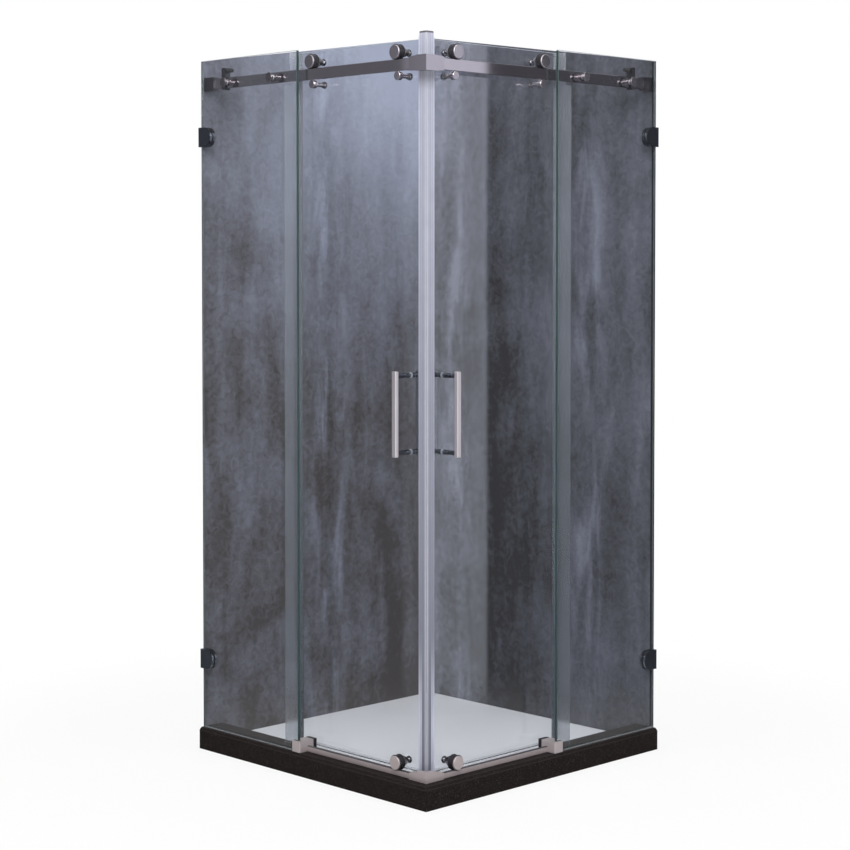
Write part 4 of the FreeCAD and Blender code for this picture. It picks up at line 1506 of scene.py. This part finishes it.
@dataclass
class Studio:
    """The plain stage: pale floor, grey backdrop sheets, soft lamps and a white surround."""

    floor_side: float = 60.0
    sheet_gap: float = 0.002
    sheet_rise: float = 0.138
    shadow_strip: float = 0.018
    key_place: Triple = (-2.6, -2.7, 3.4)
    key_power: float = 120.0
    key_size: float = 2.0
    top_place: Triple = (-0.4, -0.5, 4.6)
    top_power: float = 54.0
    top_size: float = 2.6
    aim: Triple = (0.0, 0.0, 0.9)
    surround: float = 0.40
    sheen_tint: Colour = (0.95, 1.0, 1.12)
    sheen: float = 0.74
    sheen_swing: float = 0.31
    far_sheen: float = 0.165
    far_sheen_swing: float = -0.048
    sheen_edge: Span = (0.028, 0.032)
    back_sheen: float = 0.55
    back_edge: Span = (0.60, 1.0)

    def build(self) -> list[str]:
        """Make the stage round the part.

        Returns:
            A line on each thing for the log.
        """
        self.lay_floor()
        self.hang_sheets()
        self.hang_lamp("key_lamp", Vector(self.key_place), self.key_power, self.key_size)
        self.hang_lamp("top_lamp", Vector(self.top_place), self.top_power, self.top_size)
        self.light_surround()
        return ["stage_floor: stage", "backdrop_x and backdrop_y: stage", "key_lamp, top_lamp and surround: light"]

    def lay_floor(self) -> None:
        """Lay the pale floor under the part."""
        let_go()
        bpy.ops.mesh.primitive_plane_add(size=self.floor_side, location=(0, 0, 0))
        floor = bpy.context.object
        floor.name = "stage_floor"
        StageFloor("pale_stage_floor").lay_on(floor)
        floor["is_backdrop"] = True

    def hang_sheets(self) -> None:
        """Hang one grey sheet behind each mounting plane, its top edge rising to the far corner."""
        low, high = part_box("fixed_glass_right")
        near, top = (low.y + high.y) / 2, high.z
        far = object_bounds()[1][0] + self.sheet_gap
        # The two sheets are lit and shaded copies: one painted dark as shade, one painted light.
        painted_dark = BackdropSheet(
            "dim_grey_backdrop", pale=(0.26, 0.27, 0.34), slate=(0.030, 0.0285, 0.031), along="Y", foot=0.138,
            slope=-0.365, climb=0.023, lean=0.0575, painted_corner_light=0.32, veins=(-0.19, 0.35), contrast=0.6,
            shadow_strip=near + self.shadow_strip)
        pale = BackdropSheet(
            "pale_grey_backdrop", pale=(0.42, 0.455, 0.585), slate=(0.048, 0.040, 0.039), along="X", foot=0.048,
            slope=-0.12, climb=0.088, lean=0.159, painted_corner_light=0.0, veins=(0.04,), contrast=0.5, shadow_strip=near)
        sheets = (("backdrop_x", Matrix.Identity(4), painted_dark), ("backdrop_y", self.mirror(), pale))
        for name, turn, finish in sheets:
            let_go()
            bpy.ops.mesh.primitive_plane_add(size=1.0)
            sheet = bpy.context.object
            sheet.name = name
            ends = ((near, 0.0), (far, 0.0), (near, top), (far, top + self.sheet_rise))
            for vertex, (across, height) in zip(sheet.data.vertices, ends):
                vertex.co = turn @ Vector((far, across, height))
            bpy.ops.object.mode_set(mode="EDIT")
            select_faces(sheet, lambda face: face.normal.dot(Vector((1, 1, 0))) > 0)
            bpy.ops.mesh.flip_normals()
            bpy.ops.object.mode_set(mode="OBJECT")
            finish.lay_on(sheet)
            sheet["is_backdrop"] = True

    @staticmethod
    def mirror() -> Matrix:
        """Return the swap of X and Y that turns one side of the corner into the other."""
        return Matrix(((0, 1, 0, 0), (1, 0, 0, 0), (0, 0, 1, 0), (0, 0, 0, 1)))

    def hang_lamp(self, name: str, place: Vector, power: float, size: float) -> None:
        """Hang a square soft lamp that faces the middle of the part.

        Args:
            name: The lamp's name.
            place: Where it hangs.
            power: Its power in watts.
            size: The length of its side.
        """
        data = bpy.data.lights.new(name, "AREA")
        data.energy = power
        data.size = size
        lamp = bpy.data.objects.new(name, data)
        lamp.location = place
        lamp.rotation_euler = (Vector(self.aim) - place).to_track_quat("-Z", "Y").to_euler()
        bpy.context.scene.collection.objects.link(lamp)

    def light_surround(self) -> None:
        """Make the surround white to the eye, softer on the part, and dark in its steel past the far planes."""
        world = bpy.data.worlds.new("surround")
        bpy.context.scene.world = world
        tree = ShaderTree(world)
        path = tree.node("ShaderNodeLightPath")
        way = tree.node("ShaderNodeSeparateXYZ", None, {0: tree.node("ShaderNodeTexCoord").other("Generated")})
        lean = (way.other("X") - way.other("Y")) * math.sqrt(0.5)
        lit = path.other("Diffuse Depth") > BOUNCED
        mirrored = path.other("Glossy Depth") > BOUNCED
        near = self.sheen + lean * self.sheen_swing
        behind = way.other("X") + way.other("Y")
        edge = tree.step(behind, *self.sheen_edge)
        far = self.far_sheen + lean * self.far_sheen_swing + tree.step(behind, *self.back_edge) * self.back_sheen
        inputs = {"Color": (*self.sheen_tint, 1.0), "Strength": near + edge * (far - near)}
        sheen = tree.node("ShaderNodeBackground", None, inputs)
        inputs = {"Color": (1.0, 1.0, 1.0, 1.0), "Strength": 1.0 - lit * (1.0 - self.surround)}
        plain = tree.node("ShaderNodeBackground", None, inputs)
        surface = tree.mix(mirrored * (1.0 - lit), plain, sheen)
        tree.node("ShaderNodeOutputWorld", None, {"Surface": surface})


@dataclass
class FrontCamera:
    """The camera: nearly level, in front of the corner where the doors meet, with its frame shifted down."""

    place: Triple = (-3.8483, -3.9143, 1.3595)
    heading: float = 44.4712
    pitch: float = 2.0
    focal_pixels: float = 1963.2
    middle: Span = (426.85, 334.6)

    def build(self) -> str:
        """Make the camera and look through it.

        Returns:
            A line on the camera for the log.
        """
        data = bpy.data.cameras.new("camera")
        data.sensor_width = SENSOR_WIDTH
        data.lens = self.focal_pixels * SENSOR_WIDTH / IMAGE_SIDE
        data.shift_x = 0.5 - self.middle[0] / IMAGE_SIDE
        data.shift_y = self.middle[1] / IMAGE_SIDE - 0.5
        camera = bpy.data.objects.new("camera", data)
        camera.location = self.place
        camera.rotation_euler = (math.radians(90 - self.pitch), 0, -math.radians(self.heading))
        bpy.context.scene.collection.objects.link(camera)
        bpy.context.scene.camera = camera
        return "camera: ready"


def main() -> None:
    """Load the frame, dress each sub-assembly in order and set the stage."""
    logging.basicConfig(level=logging.INFO, format="%(name)s %(message)s")
    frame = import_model()
    bpy.context.scene.view_settings.view_transform = "Standard"
    nodes = frame["nodes"]
    LOG.info(FrontCamera().build())
    lines = StoneBase(nodes).dress()
    rails = RailSet(nodes)
    lines += rails.dress() + rails.build()
    panels = FixedPanels(nodes)
    lines += panels.dress() + panels.build()
    for side in Side:
        door = SlidingDoor(nodes, side)
        lines += door.dress() + door.build()
    lines += Studio().build()
    for line in lines:
        LOG.info(line)


if __name__ == "__main__":
    main()
